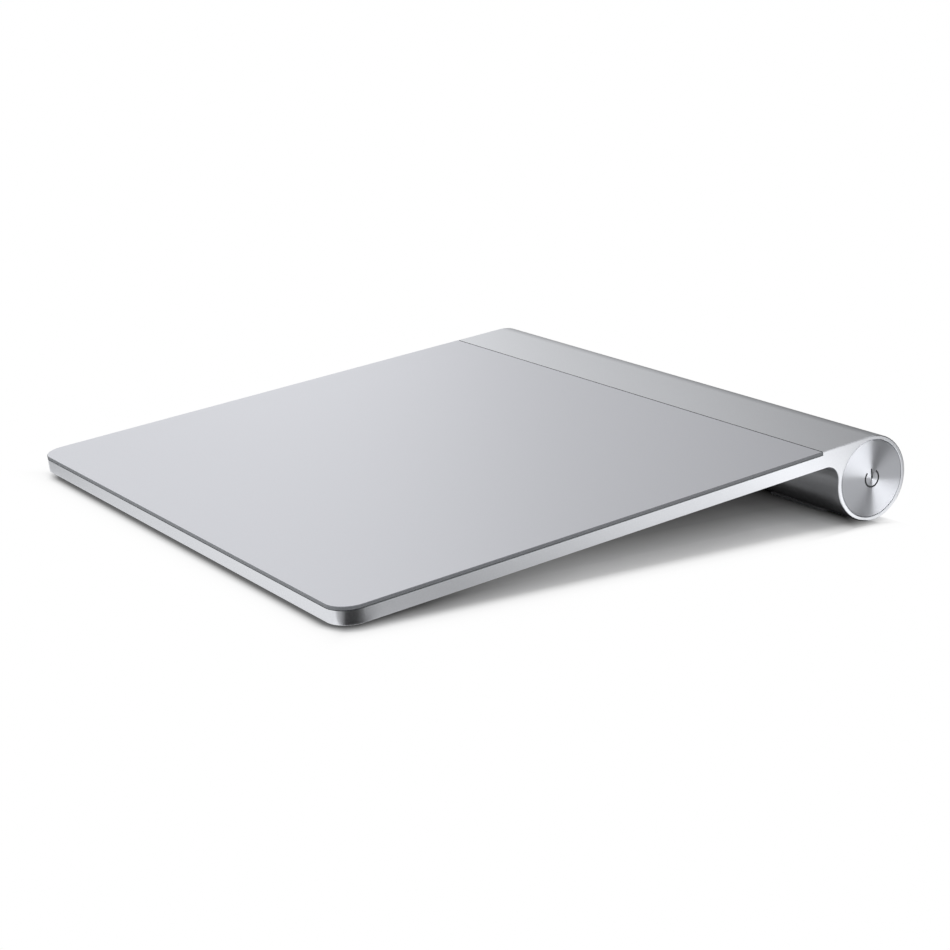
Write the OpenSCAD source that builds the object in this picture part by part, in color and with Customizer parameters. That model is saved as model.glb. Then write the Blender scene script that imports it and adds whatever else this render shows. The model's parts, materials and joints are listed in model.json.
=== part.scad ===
// Wireless trackpad: a sloping glass-topped plate and a battery tube in one aluminium extrusion.
// +X is the power button's end, +Y the tube at the back, +Z up. The origin is on the table, under the middle.

/* [Body] */
// Width over both tube ends
body_w = 131; // [126:1:160]
// Depth from the front edge to the back of the tube
body_d = 130; // [115:1:160]
// Height of the touch surface at the front edge
front_h = 4.6; // [4.2:0.1:7]
// Thickness of the plate, glass included
plate_t = 3.5; // [3.4:0.1:5]
// Plan radius of the two front corners
corner_r = 5; // [3.5:0.5:12]
// Radius of the fillet between plate and tube
fillet_r = 3; // [1:0.5:5]
// Wall of the tube
tube_wall = 1.3; // [1.2:0.05:2]
// Wall left round the button and the cap at the tube ends
end_rim = 0.83; // [0.6:0.01:1.1]
// Aluminium strip from the seam behind the glass to the tube axis
strip_w = 12.2; // [11:0.1:16]
// Rim of the plate round the bottom cover
rim_w = 1.6; // [1.2:0.1:3]
// Ledge that carries the bottom cover inside the rim
ledge_w = 2.4; // [1.5:0.1:4]
// Ledge that carries the glass in front of the seam
back_ledge = 4.8; // [3:0.1:8]
// Corner radius of the opening for the board
opening_r = 2; // [1:0.5:4]
// Width of the stiffening ribs
rib_w = 2.5; // [2:0.1:4]
// Distance of the cross rib from the front edge
rib_v = 46; // [42:1:60]
// Distance of the two long ribs from the middle
rib_u = 36; // [28:1:44]

/* [Glass] */
// Thickness of the glass
glass_t = 0.7; // [0.5:0.05:1]
// Open seam behind the glass
seam_gap = 0.15; // [0.05:0.01:0.3]
// Thickness of the adhesive of glass and cover
glue_t = 0.1; // [0.05:0.01:0.2]
// Distance of the adhesive from the edges
glue_inset = 0.5; // [0.2:0.1:1]
// Thickness of the film between glass and sensor board
film_t = 0.05; // [0.03:0.01:0.1]

/* [Sensor board] */
// Thickness of the sensor board
board_t = 0.5; // [0.4:0.05:0.7]
// Gap between the board and the opening
board_gap = 0.3; // [0.1:0.05:0.6]
// Gap between the board and the ribs
rib_gap = 0.1; // [0.05:0.01:0.2]
// Side of the touch controller
controller_w = 9; // [6:0.5:12]
// Side of the microcontroller
processor_w = 10; // [6:0.5:12]
// Height of both large chips
chip_t = 0.9; // [0.6:0.05:1.2]
// Length of the radio's shield can
radio_w = 13; // [9:0.5:16]
// Depth of the radio's shield can
radio_d = 10; // [7:0.5:14]
// Length of the antenna
antenna_l = 7; // [5:0.5:10]
// Distance of the antenna from the back of the board's opening
antenna_inset = 10; // [6:0.5:14]
// Side of the converter coil
inductor_w = 4; // [3:0.5:6]
// Length of the clock crystal
crystal_l = 3.2; // [2:0.1:4]
// Width of the clock crystal and of the antenna
crystal_w = 2; // [1.2:0.1:2.5]
// Length of a chip capacitor
capacitor_l = 1.6; // [1:0.1:2]
// Capacitors in a row
capacitor_count = 5; // [2:1:5]
// Distance between neighbouring capacitors
capacitor_step = 3.2; // [2.2:0.1:4]

/* [Bottom cover] */
// Thickness of the cover
cover_t = 0.6; // [0.5:0.05:1]
// Open joint round the cover
cover_gap = 0.1; // [0.05:0.01:0.3]
// Open joint round each front foot
foot_gap = 0.4; // [0.2:0.05:0.8]

/* [Feet] */
// Diameter of a front foot
foot_d = 9.2; // [7:0.1:10]
// Distance of the front feet from the ends
foot_inset = 13.5; // [11:0.5:24]
// Distance of the front feet from the front edge
foot_v = 9.5; // [9:0.5:14]
// Chamfer of a front foot
foot_chamfer = 0.3; // [0.1:0.05:0.6]
// Stud that holds a foot in the lever
stud_d = 2; // [1.4:0.1:3]
// Width of the stud's head past the stud
stud_lip = 0.7; // [0.4:0.1:1]
// Height of the stud's head
stud_head_t = 0.3; // [0.2:0.05:0.5]
// Height of the rear feet under the tube
rear_foot_h = 0.5; // [0.3:0.05:1]
// Depth that the rear feet are let into the tube
rear_foot_seat = 0.6; // [0.45:0.05:0.8]
// Width of a rear foot
rear_foot_w = 5; // [4:0.5:5.5]
// Length of a rear foot
rear_foot_l = 18; // [10:1:30]
// Distance of the rear feet from the ends
rear_foot_inset = 20; // [16:1:40]

/* [Click lever] */
// Thickness of the lever
lever_t = 0.4; // [0.3:0.05:0.5]
// Gap between lever and cover at rest
lever_gap = 0.04; // [0.03:0.01:0.08]
// Width of the lever past a foot's middle
lever_reach = 4.4; // [3.5:0.1:4.6]
// Distance of the hinged arms from the middle
arm_u = 30; // [20:1:40]
// Width of an arm
arm_w = 9.6; // [6:0.1:12]
// Width of the tongue that works the switch
tongue_w = 10; // [6:0.5:14]
// Distance of the hinge in front of the cross rib
hinge_ahead = 3.5; // [2.5:0.1:6]
// Diameter of the hinge pins
pin_d = 0.8; // [0.6:0.05:0.9]
// Wall of the rolled hinge eyes
eye_wall = 0.15; // [0.12:0.01:0.2]
// Running clearance of the pins in the eyes
pin_gap = 0.05; // [0.02:0.01:0.08]
// Clearance of the pins in the brackets
press_gap = 0.01; // [0.005:0.005:0.02]
// Thickness of the bracket plate
bracket_t = 0.35; // [0.25:0.05:0.4]
// Thickness of a bracket's ears
ear_t = 0.8; // [0.6:0.1:1.2]
// Gap between an eye and the ears beside it
ear_gap = 0.15; // [0.05:0.01:0.3]
// Diameter of the bracket screws
screw_d = 1.2; // [1:0.1:1.4]
// Diameter of their heads
screw_head_d = 2.2; // [1.8:0.1:2.4]
// Height of their heads
screw_head_t = 0.35; // [0.25:0.05:0.4]
// Space under the screw heads
head_clear = 0.05; // [0.03:0.01:0.1]
// Distance of the switch from the front edge
switch_v = 26; // [22:0.5:32]
// Side of the click switch
switch_w = 5.2; // [4:0.1:8]
// Diameter of its plunger
plunger_d = 1.6; // [1.2:0.1:2]
// Plunger that shows below the switch
plunger_out = 0.32; // [0.28:0.01:0.4]
// Plunger that stays inside the switch
plunger_in = 0.25; // [0.15:0.01:0.3]
// Room in the switch above the plunger
plunger_room = 0.3; // [0.28:0.01:0.35]
// Gap between the lever and the plunger at rest
touch_gap = 0.03; // [0.02:0.005:0.05]

/* [Battery] */
// Diameter of a cell over its sleeve
cell_d = 14.2; // [13.8:0.1:14.5]
// Length of a cell over its contacts
cell_l = 50.5; // [49:0.1:51]
// Space round the cells in the tube
cell_gap = 0.35; // [0.15:0.05:0.5]
// Thickness of the sleeve
sleeve_t = 0.1; // [0.05:0.01:0.2]
// Bare end of a cell past its sleeve
sleeve_inset = 1.2; // [0.6:0.1:2]
// Diameter of the positive cap
nub_d = 5.5; // [4.5:0.1:6]
// Height of the positive cap
nub_h = 1; // [0.8:0.1:1.4]
// Radius of a cell's edges
cell_edge = 0.6; // [0.3:0.1:1]
// Gap between neighbours along the tube
touch_x = 0.05; // [0.02:0.01:0.1]

/* [Battery cap] */
// Thickness of the cap's head
cap_t = 1.8; // [1.4:0.1:3]
// Length of the threaded plug
plug_l = 3.5; // [2.8:0.1:4.5]
// Running clearance of plug and guide in the bore
bore_gap = 0.05; // [0.02:0.01:0.1]
// Open joint round the cap and the button
end_gap = 0.07; // [0.04:0.01:0.1]
// Edge chamfer of the cap and the button
end_chamfer = 0.15; // [0.05:0.05:0.3]
// Floor between the head and the cup inside the plug
cup_floor = 0.9; // [0.6:0.1:1.5]
// Wall of the cup
cup_wall = 1.8; // [1.2:0.1:2.5]
// Width of the coin slot
coin_w = 1.7; // [1.2:0.1:2.2]
// Length of the coin slot
coin_l = 11.5; // [8:0.5:13]
// Depth of the coin slot
coin_depth = 1.1; // [0.6:0.1:1.2]
// Diameter of the contact rivet
rivet_d = 2; // [1.6:0.1:3]
// Width of the rivet's head past the rivet
rivet_lip = 0.8; // [0.5:0.1:1]
// Height of the rivet's head
rivet_head_t = 0.4; // [0.3:0.05:0.6]
// Thickness of the contact sheet
contact_t = 0.3; // [0.2:0.05:0.4]
// Clearance of the contact plate in the cup and on the rivet
swivel_gap = 0.1; // [0.05:0.01:0.2]
// Space that the contact takes between cup and cell
spring_l = 4.6; // [4.2:0.1:6]
// Wire of the contact spring
spring_wire = 0.6; // [0.4:0.05:0.7]
// Space between the spring and the cup
spring_gap = 0.7; // [0.5:0.1:1.3]
// Radius of the spring at the cell
spring_r2 = 2.4; // [2:0.1:2.8]
// Turns of the spring
spring_turns = 3; // [2:0.5:3]

/* [Power button] */
// Thickness of the button
button_t = 1.8; // [1.4:0.1:2.4]
// Travel of the button
button_travel = 0.7; // [0.4:0.05:0.9]
// Space behind the pressed button
button_rest = 0.3; // [0.2:0.05:0.5]
// Space between the skirt and the bore
skirt_inset = 1.25; // [1:0.05:1.6]
// Wall of the skirt
skirt_wall = 1; // [0.8:0.1:1.5]
// Plate of the skirt behind the button
skirt_plate = 0.8; // [0.5:0.1:1.2]
// Diameter of the post that works the switch
post_d = 3.2; // [2:0.1:4]
// Reach of the snap hooks
hook_reach = 0.7; // [0.4:0.05:0.9]
// Height of the snap hooks
hook_t = 0.6; // [0.4:0.05:1]
// Angle that one hook takes
hook_angle = 36; // [20:1:60]
// Thickness of the retaining ring
ring_t = 1.5; // [1:0.1:2]
// Running clearance of the skirt in the ring
skirt_gap = 0.08; // [0.04:0.01:0.1]

/* [Tube end] */
// Distance of the switch board from the end of the tube
board_in = 8.7; // [8.5:0.1:10]
// Thickness of the switch board
end_board_t = 0.8; // [0.6:0.1:1]
// Space between the switch board and the cable
end_board_gap = 0.4; // [0.2:0.05:0.6]
// Side of the power switch
power_switch_w = 4.5; // [3.5:0.1:5]
// Height of the power switch
power_switch_t = 1.8; // [1.4:0.1:2]
// Diameter of the switch's plunger
button_plunger_d = 2.2; // [1.6:0.1:2.6]
// Plunger that stays inside the power switch
button_plunger_in = 0.4; // [0.2:0.05:0.5]
// Thickness of the carrier's two flanges
flange_t = 1.6; // [1:0.1:2]
// Thickness of the carrier's webs
web_t = 2; // [1.2:0.1:3]
// Space between the carrier's flat and the cable
flat_gap = 0.5; // [0.4:0.05:0.8]
// Diameter of the positive contact
contact_d = 8; // [6:0.1:9]
// Height of the contact's dimple
dimple_h = 0.3; // [0.2:0.05:0.5]
// Width of the contact's tail
tail_w = 2; // [1.5:0.1:3]
// Distance of the contact's tail from the edge of the switch board
tail_inset = 0.9; // [0.7:0.1:1.4]
// Slack of the tail in its slots
tail_gap = 0.1; // [0.05:0.01:0.2]
// Direction of the indicator, from straight up towards the seam
led_angle = 30; // [25:1:35]
// Distance of the indicator from the edge of the switch board
led_inset = 0.8; // [0.7:0.05:1]
// Length of the indicator along the light rod
led_l = 0.9; // [0.6:0.05:1]
// Width of the indicator
led_w = 1.6; // [1.2:0.1:2]
// Height of the indicator
led_h = 0.9; // [0.8:0.05:1]
// Diameter of the light rod
rod_d = 0.8; // [0.6:0.05:0.8]
// Metal left over the light rod
rod_skin = 0.6; // [0.5:0.05:0.8]
// Clearance of the light rod
rod_gap = 0.05; // [0.02:0.01:0.1]

/* [Flat cable] */
// Distance of the cable from the right end
flex_inset = 15.5; // [14:0.5:17]
// Width of the cable
flex_w = 6; // [4:0.5:7]
// Thickness of the cable
flex_t = 0.15; // [0.1:0.01:0.2]
// Depth of the cable under the touch surface
flex_drop = 2.35; // [2.2:0.05:2.5]
// Cable in front of the tube axis where it runs to the switch board
flex_ahead = 0.5; // [0:0.1:1]
// Cable behind the tube axis where it runs to the switch board
flex_behind = 3.2; // [2:0.1:3.2]
// Length of the tab on the switch board
tab_l = 2.6; // [2:0.1:3]
// Space over and under the cable in its tunnel
tunnel_room = 0.4; // [0.3:0.05:0.5]
// Space beside the cable in its tunnel
tunnel_side = 0.8; // [0.4:0.1:1.5]
// Length of the board connector
connector_w = 9; // [8:0.5:12]
// Depth of the board connector
connector_d = 3.4; // [2.6:0.1:5]
// Length of cable inside the connector
flex_grip = 2; // [1:0.1:2.4]
// Slack of the cable in the connector
grip_gap = 0.05; // [0.02:0.01:0.1]

/* [Hidden] */
$fn = 64;

// A cut runs this far past the face that it opens
past = 1;

end_x = body_w / 2;

// Tube, worked out from the cells
bore_r = cell_d / 2 + cell_gap;
tube_r = bore_r + tube_wall;
end_r = tube_r - end_rim;
tube_y = body_d / 2 - tube_r;
tube_z = rear_foot_h + tube_r;

// Slope of the touch surface, which touches the tube's top
run = tube_y + body_d / 2;
rise = tube_z - front_h;
tilt = atan2(rise, run) + asin(tube_r / norm([run, rise]));
slope_l = run * cos(tilt) + rise * sin(tilt);

// Fillet between plate and tube, in the sloping frame
fillet_w = -plate_t - fillet_r;
fillet_v = slope_l - sqrt(pow(tube_r + fillet_r, 2) - pow(fillet_w + tube_r, 2));

// Outlines in the sloping frame: u across, v up the slope, w square to it
seam_v = slope_l - strip_w;
opening_w = body_w - 2 * (rim_w + ledge_w);
opening_v0 = rim_w + ledge_w;
opening_v1 = seam_v - back_ledge;
cover_w = body_w - 2 * rim_w;
cover_v1 = opening_v1 + ledge_w;
cover_r = corner_r - rim_w;

// Layers from the touch surface down
glass_w = -glass_t;
ledge_top = glass_w - glue_t;
board_top = glass_w - film_t;
board_bottom = board_top - board_t;
rib_top = board_bottom - rib_gap;
cover_top = -plate_t + cover_t;
cover_seat = cover_top + glue_t;
lever_bottom = cover_top + lever_gap;
lever_top = lever_bottom + lever_t;
bracket_bottom = cover_top + head_clear + screw_head_t;
bracket_top = bracket_bottom + bracket_t;

// Click lever
foot_u = end_x - foot_inset;
stud_r = stud_d / 2;
hinge_v = rib_v - hinge_ahead;
eye_r = pin_d / 2 + pin_gap + eye_wall;
hinge_w = lever_bottom + eye_r;
ear_u = arm_w / 2 + ear_gap;
bracket_u = ear_u + ear_t + screw_head_d;
screw_u = ear_u + ear_t + screw_head_d / 2;
screw_v = rib_v + rib_w / 2;
plunger_tip = lever_top + touch_gap;
switch_bottom = plunger_tip + plunger_out;

// Place of a front foot on the table
foot_drop = (front_h + foot_v * sin(tilt)) / cos(tilt);
foot_y = foot_v * cos(tilt) + foot_drop * sin(tilt) - body_d / 2;

// Rear bays of the plate
bay_v0 = rib_v + rib_w;
bay_v = (bay_v0 + opening_v1) / 2;
side_bay_u = (rib_u + opening_w / 2) / 2;

// Stations along the tube
cap_head_x = cap_t - end_x;
cup_x = cap_head_x + cup_floor;
plug_x = cap_head_x + plug_l;
plug_r = bore_r - bore_gap;
cup_r = plug_r - cup_wall;
cell_x = cup_x + spring_l + touch_x;
contact_x = cell_x + 2 * (cell_l + touch_x);
carrier_x = contact_x + dimple_h + contact_t;
end_board_x = end_x - board_in;
// The carrier fills what the cells and contacts leave of the tube
carrier_l = end_board_x - carrier_x;
end_board_face = end_board_x + end_board_t;
switch_face = end_board_face + power_switch_t;
button_x = end_x - button_t;
shoulder_x = button_x - button_travel - button_rest;
ring_x = shoulder_x - ring_t;
hook_x = ring_x - touch_x - hook_t;
skirt_r = bore_r - skirt_inset;
button_r = end_r - end_gap;
post_x = switch_face + button_travel + touch_x + touch_x;

// Flat cable and what keeps clear of it at the end of the tube
flex_u = end_x - flex_inset;
flex_bottom = -flex_drop;
flex_h = tube_r - flex_drop;
flat_h = flex_h - flat_gap;
end_board_r = flex_h - end_board_gap;
tail_r = end_board_r - tail_inset;
led_r = end_board_r - led_inset - led_l;
connector_v = opening_v1 - connector_d / 2 - tunnel_side;
grip_v = connector_v + connector_d / 2 - flex_grip;
rod_x = end_board_face + led_h / 2;
rod_r0 = led_r + led_l + touch_x;
rod_r1 = tube_r / cos(led_angle) - rod_skin;

// Contact spring: a cone of round wire about the tube axis
spring_rings = 8 * spring_turns;
spring_sides = 6;
spring_r1 = cup_r - spring_gap - spring_wire / 2;
spring_x0 = cup_x + contact_t + spring_wire / 2 + touch_x;
spring_x1 = cell_x - touch_x - spring_wire / 2;
function spring_turn(i) = 360 * spring_turns * i / spring_rings;
function spring_radius(i) = spring_r1 + (spring_r2 - spring_r1) * i / spring_rings;
function spring_point(i) = [
    spring_radius(i) * cos(spring_turn(i)),
    spring_radius(i) * sin(spring_turn(i)),
    spring_x0 + (spring_x1 - spring_x0) * i / spring_rings,
];
function spring_side(i, side) =
    let (out = [cos(spring_turn(i)), sin(spring_turn(i)), 0], turn = 360 * side / spring_sides)
    spring_point(i) + spring_wire / 2 * (cos(turn) * out + sin(turn) * [0, 0, 1]);
spring_spans = [
    for (i = [0:spring_rings - 6], j = [i + 6:spring_rings]) norm(spring_point(i) - spring_point(j))
];
echo(least_spring_gap = min(spring_spans) - spring_wire);

// The sloping frame, with its zero on the front edge of the touch surface
module sloped() {
    translate([0, -body_d / 2, front_h])
        rotate([tilt, 0, 0])
            children();
}

// The tube's frame: z along the tube to the right, x down from the touch surface, y back
module along_tube() {
    sloped()
        translate([0, slope_l, -tube_r])
            rotate([0, 90, 0])
                children();
}

// A plan outline as a layer from one height to another in the sloping frame
module layer(from, to) {
    translate([0, 0, min(from, to)])
        linear_extrude(abs(to - from))
            children();
}

// A drawing of v and w as a prism across the width
module across(length) {
    rotate([90, 0, 90])
        linear_extrude(length, center = true)
            children();
}

// Outline from one v to another with all four corners round
module round_outline(width, v0, v1, radius) {
    translate([-width / 2, v0 + radius])
        square([width, v1 - v0 - 2 * radius]);
    translate([radius - width / 2, v0])
        square([width - 2 * radius, v1 - v0]);
    for (side = [-1, 1], v = [v0 + radius, v1 - radius])
        translate([side * (width / 2 - radius), v])
            circle(radius);
}

// Outline from one v to another with only the front corners round
module front_outline(width, v0, v1, radius) {
    translate([-width / 2, v0 + radius])
        square([width, v1 - v0 - radius]);
    translate([radius - width / 2, v0])
        square([width - 2 * radius, radius]);
    for (side = [-1, 1])
        translate([side * (width / 2 - radius), v0 + radius])
            circle(radius);
}

// A rectangle by its middle
module patch(u, v, width, depth) {
    translate([u, v])
        square([width, depth], center = true);
}

// A part under the sensor board
module on_board(height) {
    sloped()
        layer(board_bottom, board_bottom - height)
            children();
}

module opening() round_outline(opening_w, opening_v0, opening_v1, opening_r);

module rib_plan() {
    translate([-opening_w / 2 - past, rib_v])
        square([opening_w + 2 * past, rib_w]);
    for (side = [-1, 1])
        translate([side * rib_u - rib_w / 2, rib_v])
            square([rib_w, opening_v1 - rib_v + past]);
}

// Section of the extrusion: plate, tube and a web between them that the fillet is cut from
module section() {
    difference() {
        union() {
            translate([0, -plate_t])
                square([slope_l, plate_t]);
            translate([slope_l, -tube_r])
                circle(tube_r);
            polygon([
                [fillet_v, fillet_w],
                [slope_l, -tube_r],
                [slope_l, -plate_t / 2],
                [fillet_v, -plate_t / 2],
            ]);
        }
        translate([fillet_v, fillet_w])
            circle(fillet_r);
    }
}

// Pockets that are milled into the plate
module plate_pockets() {
    layer(ledge_top, past)
        translate([-body_w, -past])
            square([2 * body_w, seam_v + past]);
    layer(ledge_top + past, rib_top)
        opening();
    layer(rib_top, cover_seat - past)
        difference() {
            opening();
            rib_plan();
        }
    layer(cover_seat, -plate_t - past)
        round_outline(cover_w, rim_w, cover_v1, cover_r);
    for (side = [-1, 1])
        layer(bracket_top, cover_seat - past)
            patch(side * arm_u, screw_v, 2 * (bracket_u + ear_gap), rib_w + 2 * ear_gap);
    for (side = [-1, 1], hole = [-1, 1])
        translate([side * arm_u + hole * screw_u, screw_v, rib_top - 2 * past])
            cylinder(d = screw_d, h = 3 * past);
    translate([flex_u - flex_w / 2 - tunnel_side, opening_v1 - past, flex_bottom - tunnel_room])
        cube([flex_w + 2 * tunnel_side, strip_w + back_ledge + past, flex_t + 2 * tunnel_room]);
}

// Bore for the cells, a wider seat at each end and the well of the light rod
module tube_bores() {
    translate([0, 0, -end_x - past])
        cylinder(r = bore_r, h = body_w + 2 * past);
    translate([0, 0, -end_x - past])
        cylinder(r = end_r, h = cap_t + past);
    translate([0, 0, shoulder_x])
        cylinder(r = end_r, h = end_x - shoulder_x + past);
    light_rod(tube_r - past - tube_wall, rod_r1 + rod_gap, rod_d / 2 + rod_gap);
}

// A rod from the tube axis towards the indicator's window
module light_rod(from, to, radius) {
    translate([0, 0, rod_x])
        rotate([0, 0, 180 + led_angle])
            translate([from, 0, 0])
                rotate([0, 90, 0])
                    cylinder(r = radius, h = to - from);
}

// An outline with half-round ends along x
module stadium(length, width) {
    patch(0, 0, length - width, width);
    for (end = [-1, 1])
        translate([end * (length - width) / 2, 0])
            circle(d = width);
}

// A rear foot's outline on the table
module rear_foot_plan(side, gap) {
    translate([side * (end_x - rear_foot_inset), tube_y])
        stadium(rear_foot_l + 2 * gap, rear_foot_w + 2 * gap);
}

module chassis() {
    color("silver")
        difference() {
            sloped()
                difference() {
                    intersection() {
                        across(body_w)
                            section();
                        layer(past, -2 * tube_r - past)
                            front_outline(body_w, 0, slope_l + tube_r + past, corner_r);
                    }
                    plate_pockets();
                }
            along_tube()
                tube_bores();
            for (side = [-1, 1])
                translate([0, 0, -past])
                    linear_extrude(rear_foot_h + rear_foot_seat + past)
                        rear_foot_plan(side, touch_x);
        }
}

module glass_plate() {
    color("gainsboro")
        sloped()
            layer(0, glass_w)
                front_outline(body_w, 0, seam_v - seam_gap, corner_r);
}

module glass_adhesive() {
    color("dimgray")
        sloped()
            layer(glass_w, ledge_top)
                difference() {
                    front_outline(body_w - 2 * glue_inset, glue_inset, seam_v - seam_gap - glue_inset,
                        corner_r - glue_inset);
                    opening();
                }
}

module board_outline() {
    round_outline(opening_w - 2 * board_gap, opening_v0 + board_gap, opening_v1 - board_gap,
        opening_r - board_gap);
}

module sensor_adhesive() {
    color("whitesmoke")
        sloped()
            layer(glass_w, board_top)
                board_outline();
}

module sensor_board() {
    color("seagreen")
        sloped()
            layer(board_top, board_bottom)
                board_outline();
}

module touch_controller() {
    color("black")
        on_board(chip_t)
            patch(-rib_u / 2, bay_v, controller_w, controller_w);
}

module microcontroller() {
    color("black")
        on_board(chip_t)
            patch(rib_u / 2, bay_v, processor_w, processor_w);
}

module radio_module() {
    color("lightgray")
        on_board(chip_t)
            patch(-side_bay_u, bay_v, radio_w, radio_d);
}

module radio_antenna() {
    color("khaki")
        on_board(chip_t)
            patch(-side_bay_u, opening_v1 - antenna_inset, antenna_l, crystal_w);
}

module crystal() {
    color("lightgray")
        on_board(chip_t)
            patch(-side_bay_u, bay_v - radio_d, crystal_l, crystal_w);
}

module boost_inductor() {
    color("dimgray")
        on_board(chip_t)
            difference() {
                patch(side_bay_u, bay_v, inductor_w, inductor_w);
                for (side = [-1, 1])
                    patch(side_bay_u, bay_v + side * inductor_w / 2, inductor_w / 2, inductor_w / 5);
            }
}

// Rows of chip capacitors beside the two large chips and the converter
module board_capacitors() {
    color("tan")
        on_board(capacitor_l / 2) {
            for (chip_u = [-rib_u / 2, rib_u / 2], row = [-1, 1], place = [1:capacitor_count])
                patch(chip_u + (place - (capacitor_count + 1) / 2) * capacitor_step,
                    bay_v + row * (processor_w / 2 + capacitor_step), capacitor_l, capacitor_l / 2);
            for (row = [-1, 1])
                patch(side_bay_u, bay_v + row * (inductor_w / 2 + capacitor_step), capacitor_l,
                    capacitor_l / 2);
        }
}

module flex_connector() {
    color("ivory")
        sloped()
            difference() {
                layer(board_bottom, flex_bottom - flex_t)
                    patch(flex_u, connector_v, connector_w, connector_d);
                layer(flex_bottom - grip_gap, flex_bottom + flex_t + grip_gap)
                    translate([flex_u - flex_w / 2 - grip_gap, grip_v - grip_gap])
                        square([flex_w + 2 * grip_gap, connector_d]);
            }
}

module power_flex() {
    color("orange")
        sloped() {
            layer(flex_bottom, flex_bottom + flex_t) {
                translate([flex_u - flex_w / 2, grip_v])
                    square([flex_w, slope_l + flex_behind - grip_v]);
                translate([flex_u, slope_l - flex_ahead])
                    square([end_board_face + flex_t - flex_u, flex_ahead + flex_behind]);
            }
            translate([end_board_face, slope_l - flex_ahead, flex_bottom - tab_l])
                cube([flex_t, flex_ahead + flex_behind, tab_l + flex_t]);
        }
}

module click_switch() {
    color("lightgray")
        sloped()
            difference() {
                layer(board_bottom, switch_bottom)
                    patch(0, switch_v, switch_w, switch_w);
                translate([0, switch_v, switch_bottom - past])
                    cylinder(d = plunger_d + 2 * pin_gap, h = past + plunger_in + plunger_room);
            }
}

module click_switch_plunger() {
    color("black")
        sloped()
            translate([0, switch_v, plunger_tip])
                cylinder(d = plunger_d, h = plunger_out + plunger_in);
}

// Outline of the lever: a bar from foot to foot, two hinged arms and a tongue under the switch
module lever_plan() {
    round_outline(2 * (foot_u + lever_reach), foot_v - lever_reach, foot_v + lever_reach, lever_reach / 2);
    for (side = [-1, 1])
        translate([side * arm_u - arm_w / 2, foot_v])
            square([arm_w, hinge_v - foot_v]);
    round_outline(tongue_w, foot_v, switch_v + switch_w / 2 + plunger_d, plunger_d);
}

module click_lever() {
    color("gray")
        sloped()
            difference() {
                union() {
                    layer(lever_bottom, lever_top)
                        lever_plan();
                    for (side = [-1, 1])
                        translate([side * arm_u, hinge_v, hinge_w])
                            rotate([0, 90, 0])
                                cylinder(r = eye_r, h = arm_w, center = true);
                }
                for (side = [-1, 1])
                    translate([side * arm_u, hinge_v, hinge_w])
                        rotate([0, 90, 0])
                            cylinder(d = pin_d + 2 * pin_gap, h = arm_w + 2 * past, center = true);
                for (side = [-1, 1])
                    translate([side * foot_u, foot_v, lever_bottom - past])
                        cylinder(r = stud_r + pin_gap, h = lever_t + 2 * past);
            }
}

module hinge_pins() {
    color("lightgray")
        sloped()
            for (side = [-1, 1])
                translate([side * arm_u, hinge_v, hinge_w])
                    rotate([0, 90, 0])
                        cylinder(d = pin_d, h = 2 * (ear_u + ear_t), center = true);
}

// One bracket: a plate screwed under the cross rib and two ears for the pin
module hinge_bracket(side) {
    difference() {
        union() {
            layer(bracket_bottom, bracket_top)
                translate([side * arm_u - bracket_u, rib_v - hinge_ahead / 2 + eye_r / 2])
                    square([2 * bracket_u, rib_w + hinge_ahead / 2 - eye_r / 2]);
            for (ear = [-1, 1])
                translate([side * arm_u + ear * (ear_u + ear_t / 2), 0, hinge_w - eye_r])
                    linear_extrude(2 * eye_r)
                        translate([-ear_t / 2, hinge_v - eye_r])
                            square([ear_t, hinge_ahead + eye_r - ear_gap]);
        }
        translate([side * arm_u, hinge_v, hinge_w])
            rotate([0, 90, 0])
                cylinder(r = pin_d / 2 + press_gap, h = 2 * bracket_u, center = true);
        for (hole = [-1, 1])
            translate([side * arm_u + hole * screw_u, screw_v, bracket_bottom - past])
                cylinder(d = screw_d, h = bracket_t + 2 * past);
    }
}

module hinge_brackets() {
    color("slategray")
        sloped()
            for (side = [-1, 1])
                hinge_bracket(side);
}

module bracket_screws() {
    color("lightgray")
        sloped()
            for (side = [-1, 1], hole = [-1, 1])
                translate([side * arm_u + hole * screw_u, screw_v, bracket_bottom - screw_head_t]) {
                    cylinder(d = screw_head_d, h = screw_head_t);
                    cylinder(r = screw_d / 2 - press_gap, h = rib_top - bracket_bottom + screw_head_t);
                }
}

// A front foot: a rubber pad cut flat on the table and a headed stud through the lever
module front_foot(side) {
    color("darkgray") {
        intersection() {
            sloped()
                translate([side * foot_u, foot_v, lever_bottom - 2 * foot_drop])
                    cylinder(d = foot_d, h = 2 * foot_drop);
            translate([side * foot_u, foot_y, 0])
                cylinder(r1 = foot_d / 2 - foot_chamfer, r2 = foot_d / 2 + 2 * foot_drop,
                    h = 2 * foot_drop + foot_chamfer);
        }
        sloped()
            translate([side * foot_u, foot_v, lever_top]) {
                translate([0, 0, -lever_t - stud_head_t])
                    cylinder(r = stud_r, h = lever_t + 2 * stud_head_t);
                cylinder(r = stud_r + stud_lip, h = stud_head_t);
            }
    }
}

module front_foot_left() front_foot(-1);
module front_foot_right() front_foot(1);

module bottom_cover() {
    color("whitesmoke")
        sloped()
            difference() {
                layer(cover_top, -plate_t)
                    round_outline(cover_w - 2 * cover_gap, rim_w + cover_gap, cover_v1 - cover_gap,
                        cover_r - cover_gap);
                for (side = [-1, 1])
                    translate([side * foot_u, foot_v, -plate_t - past])
                        cylinder(r = foot_d / 2 + foot_gap, h = cover_t + 2 * past);
            }
}

module cover_adhesive() {
    color("dimgray")
        sloped()
            layer(cover_seat, cover_top)
                difference() {
                    round_outline(cover_w - 2 * glue_inset, rim_w + glue_inset, cover_v1 - glue_inset,
                        cover_r - glue_inset);
                    opening();
                }
}

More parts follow.
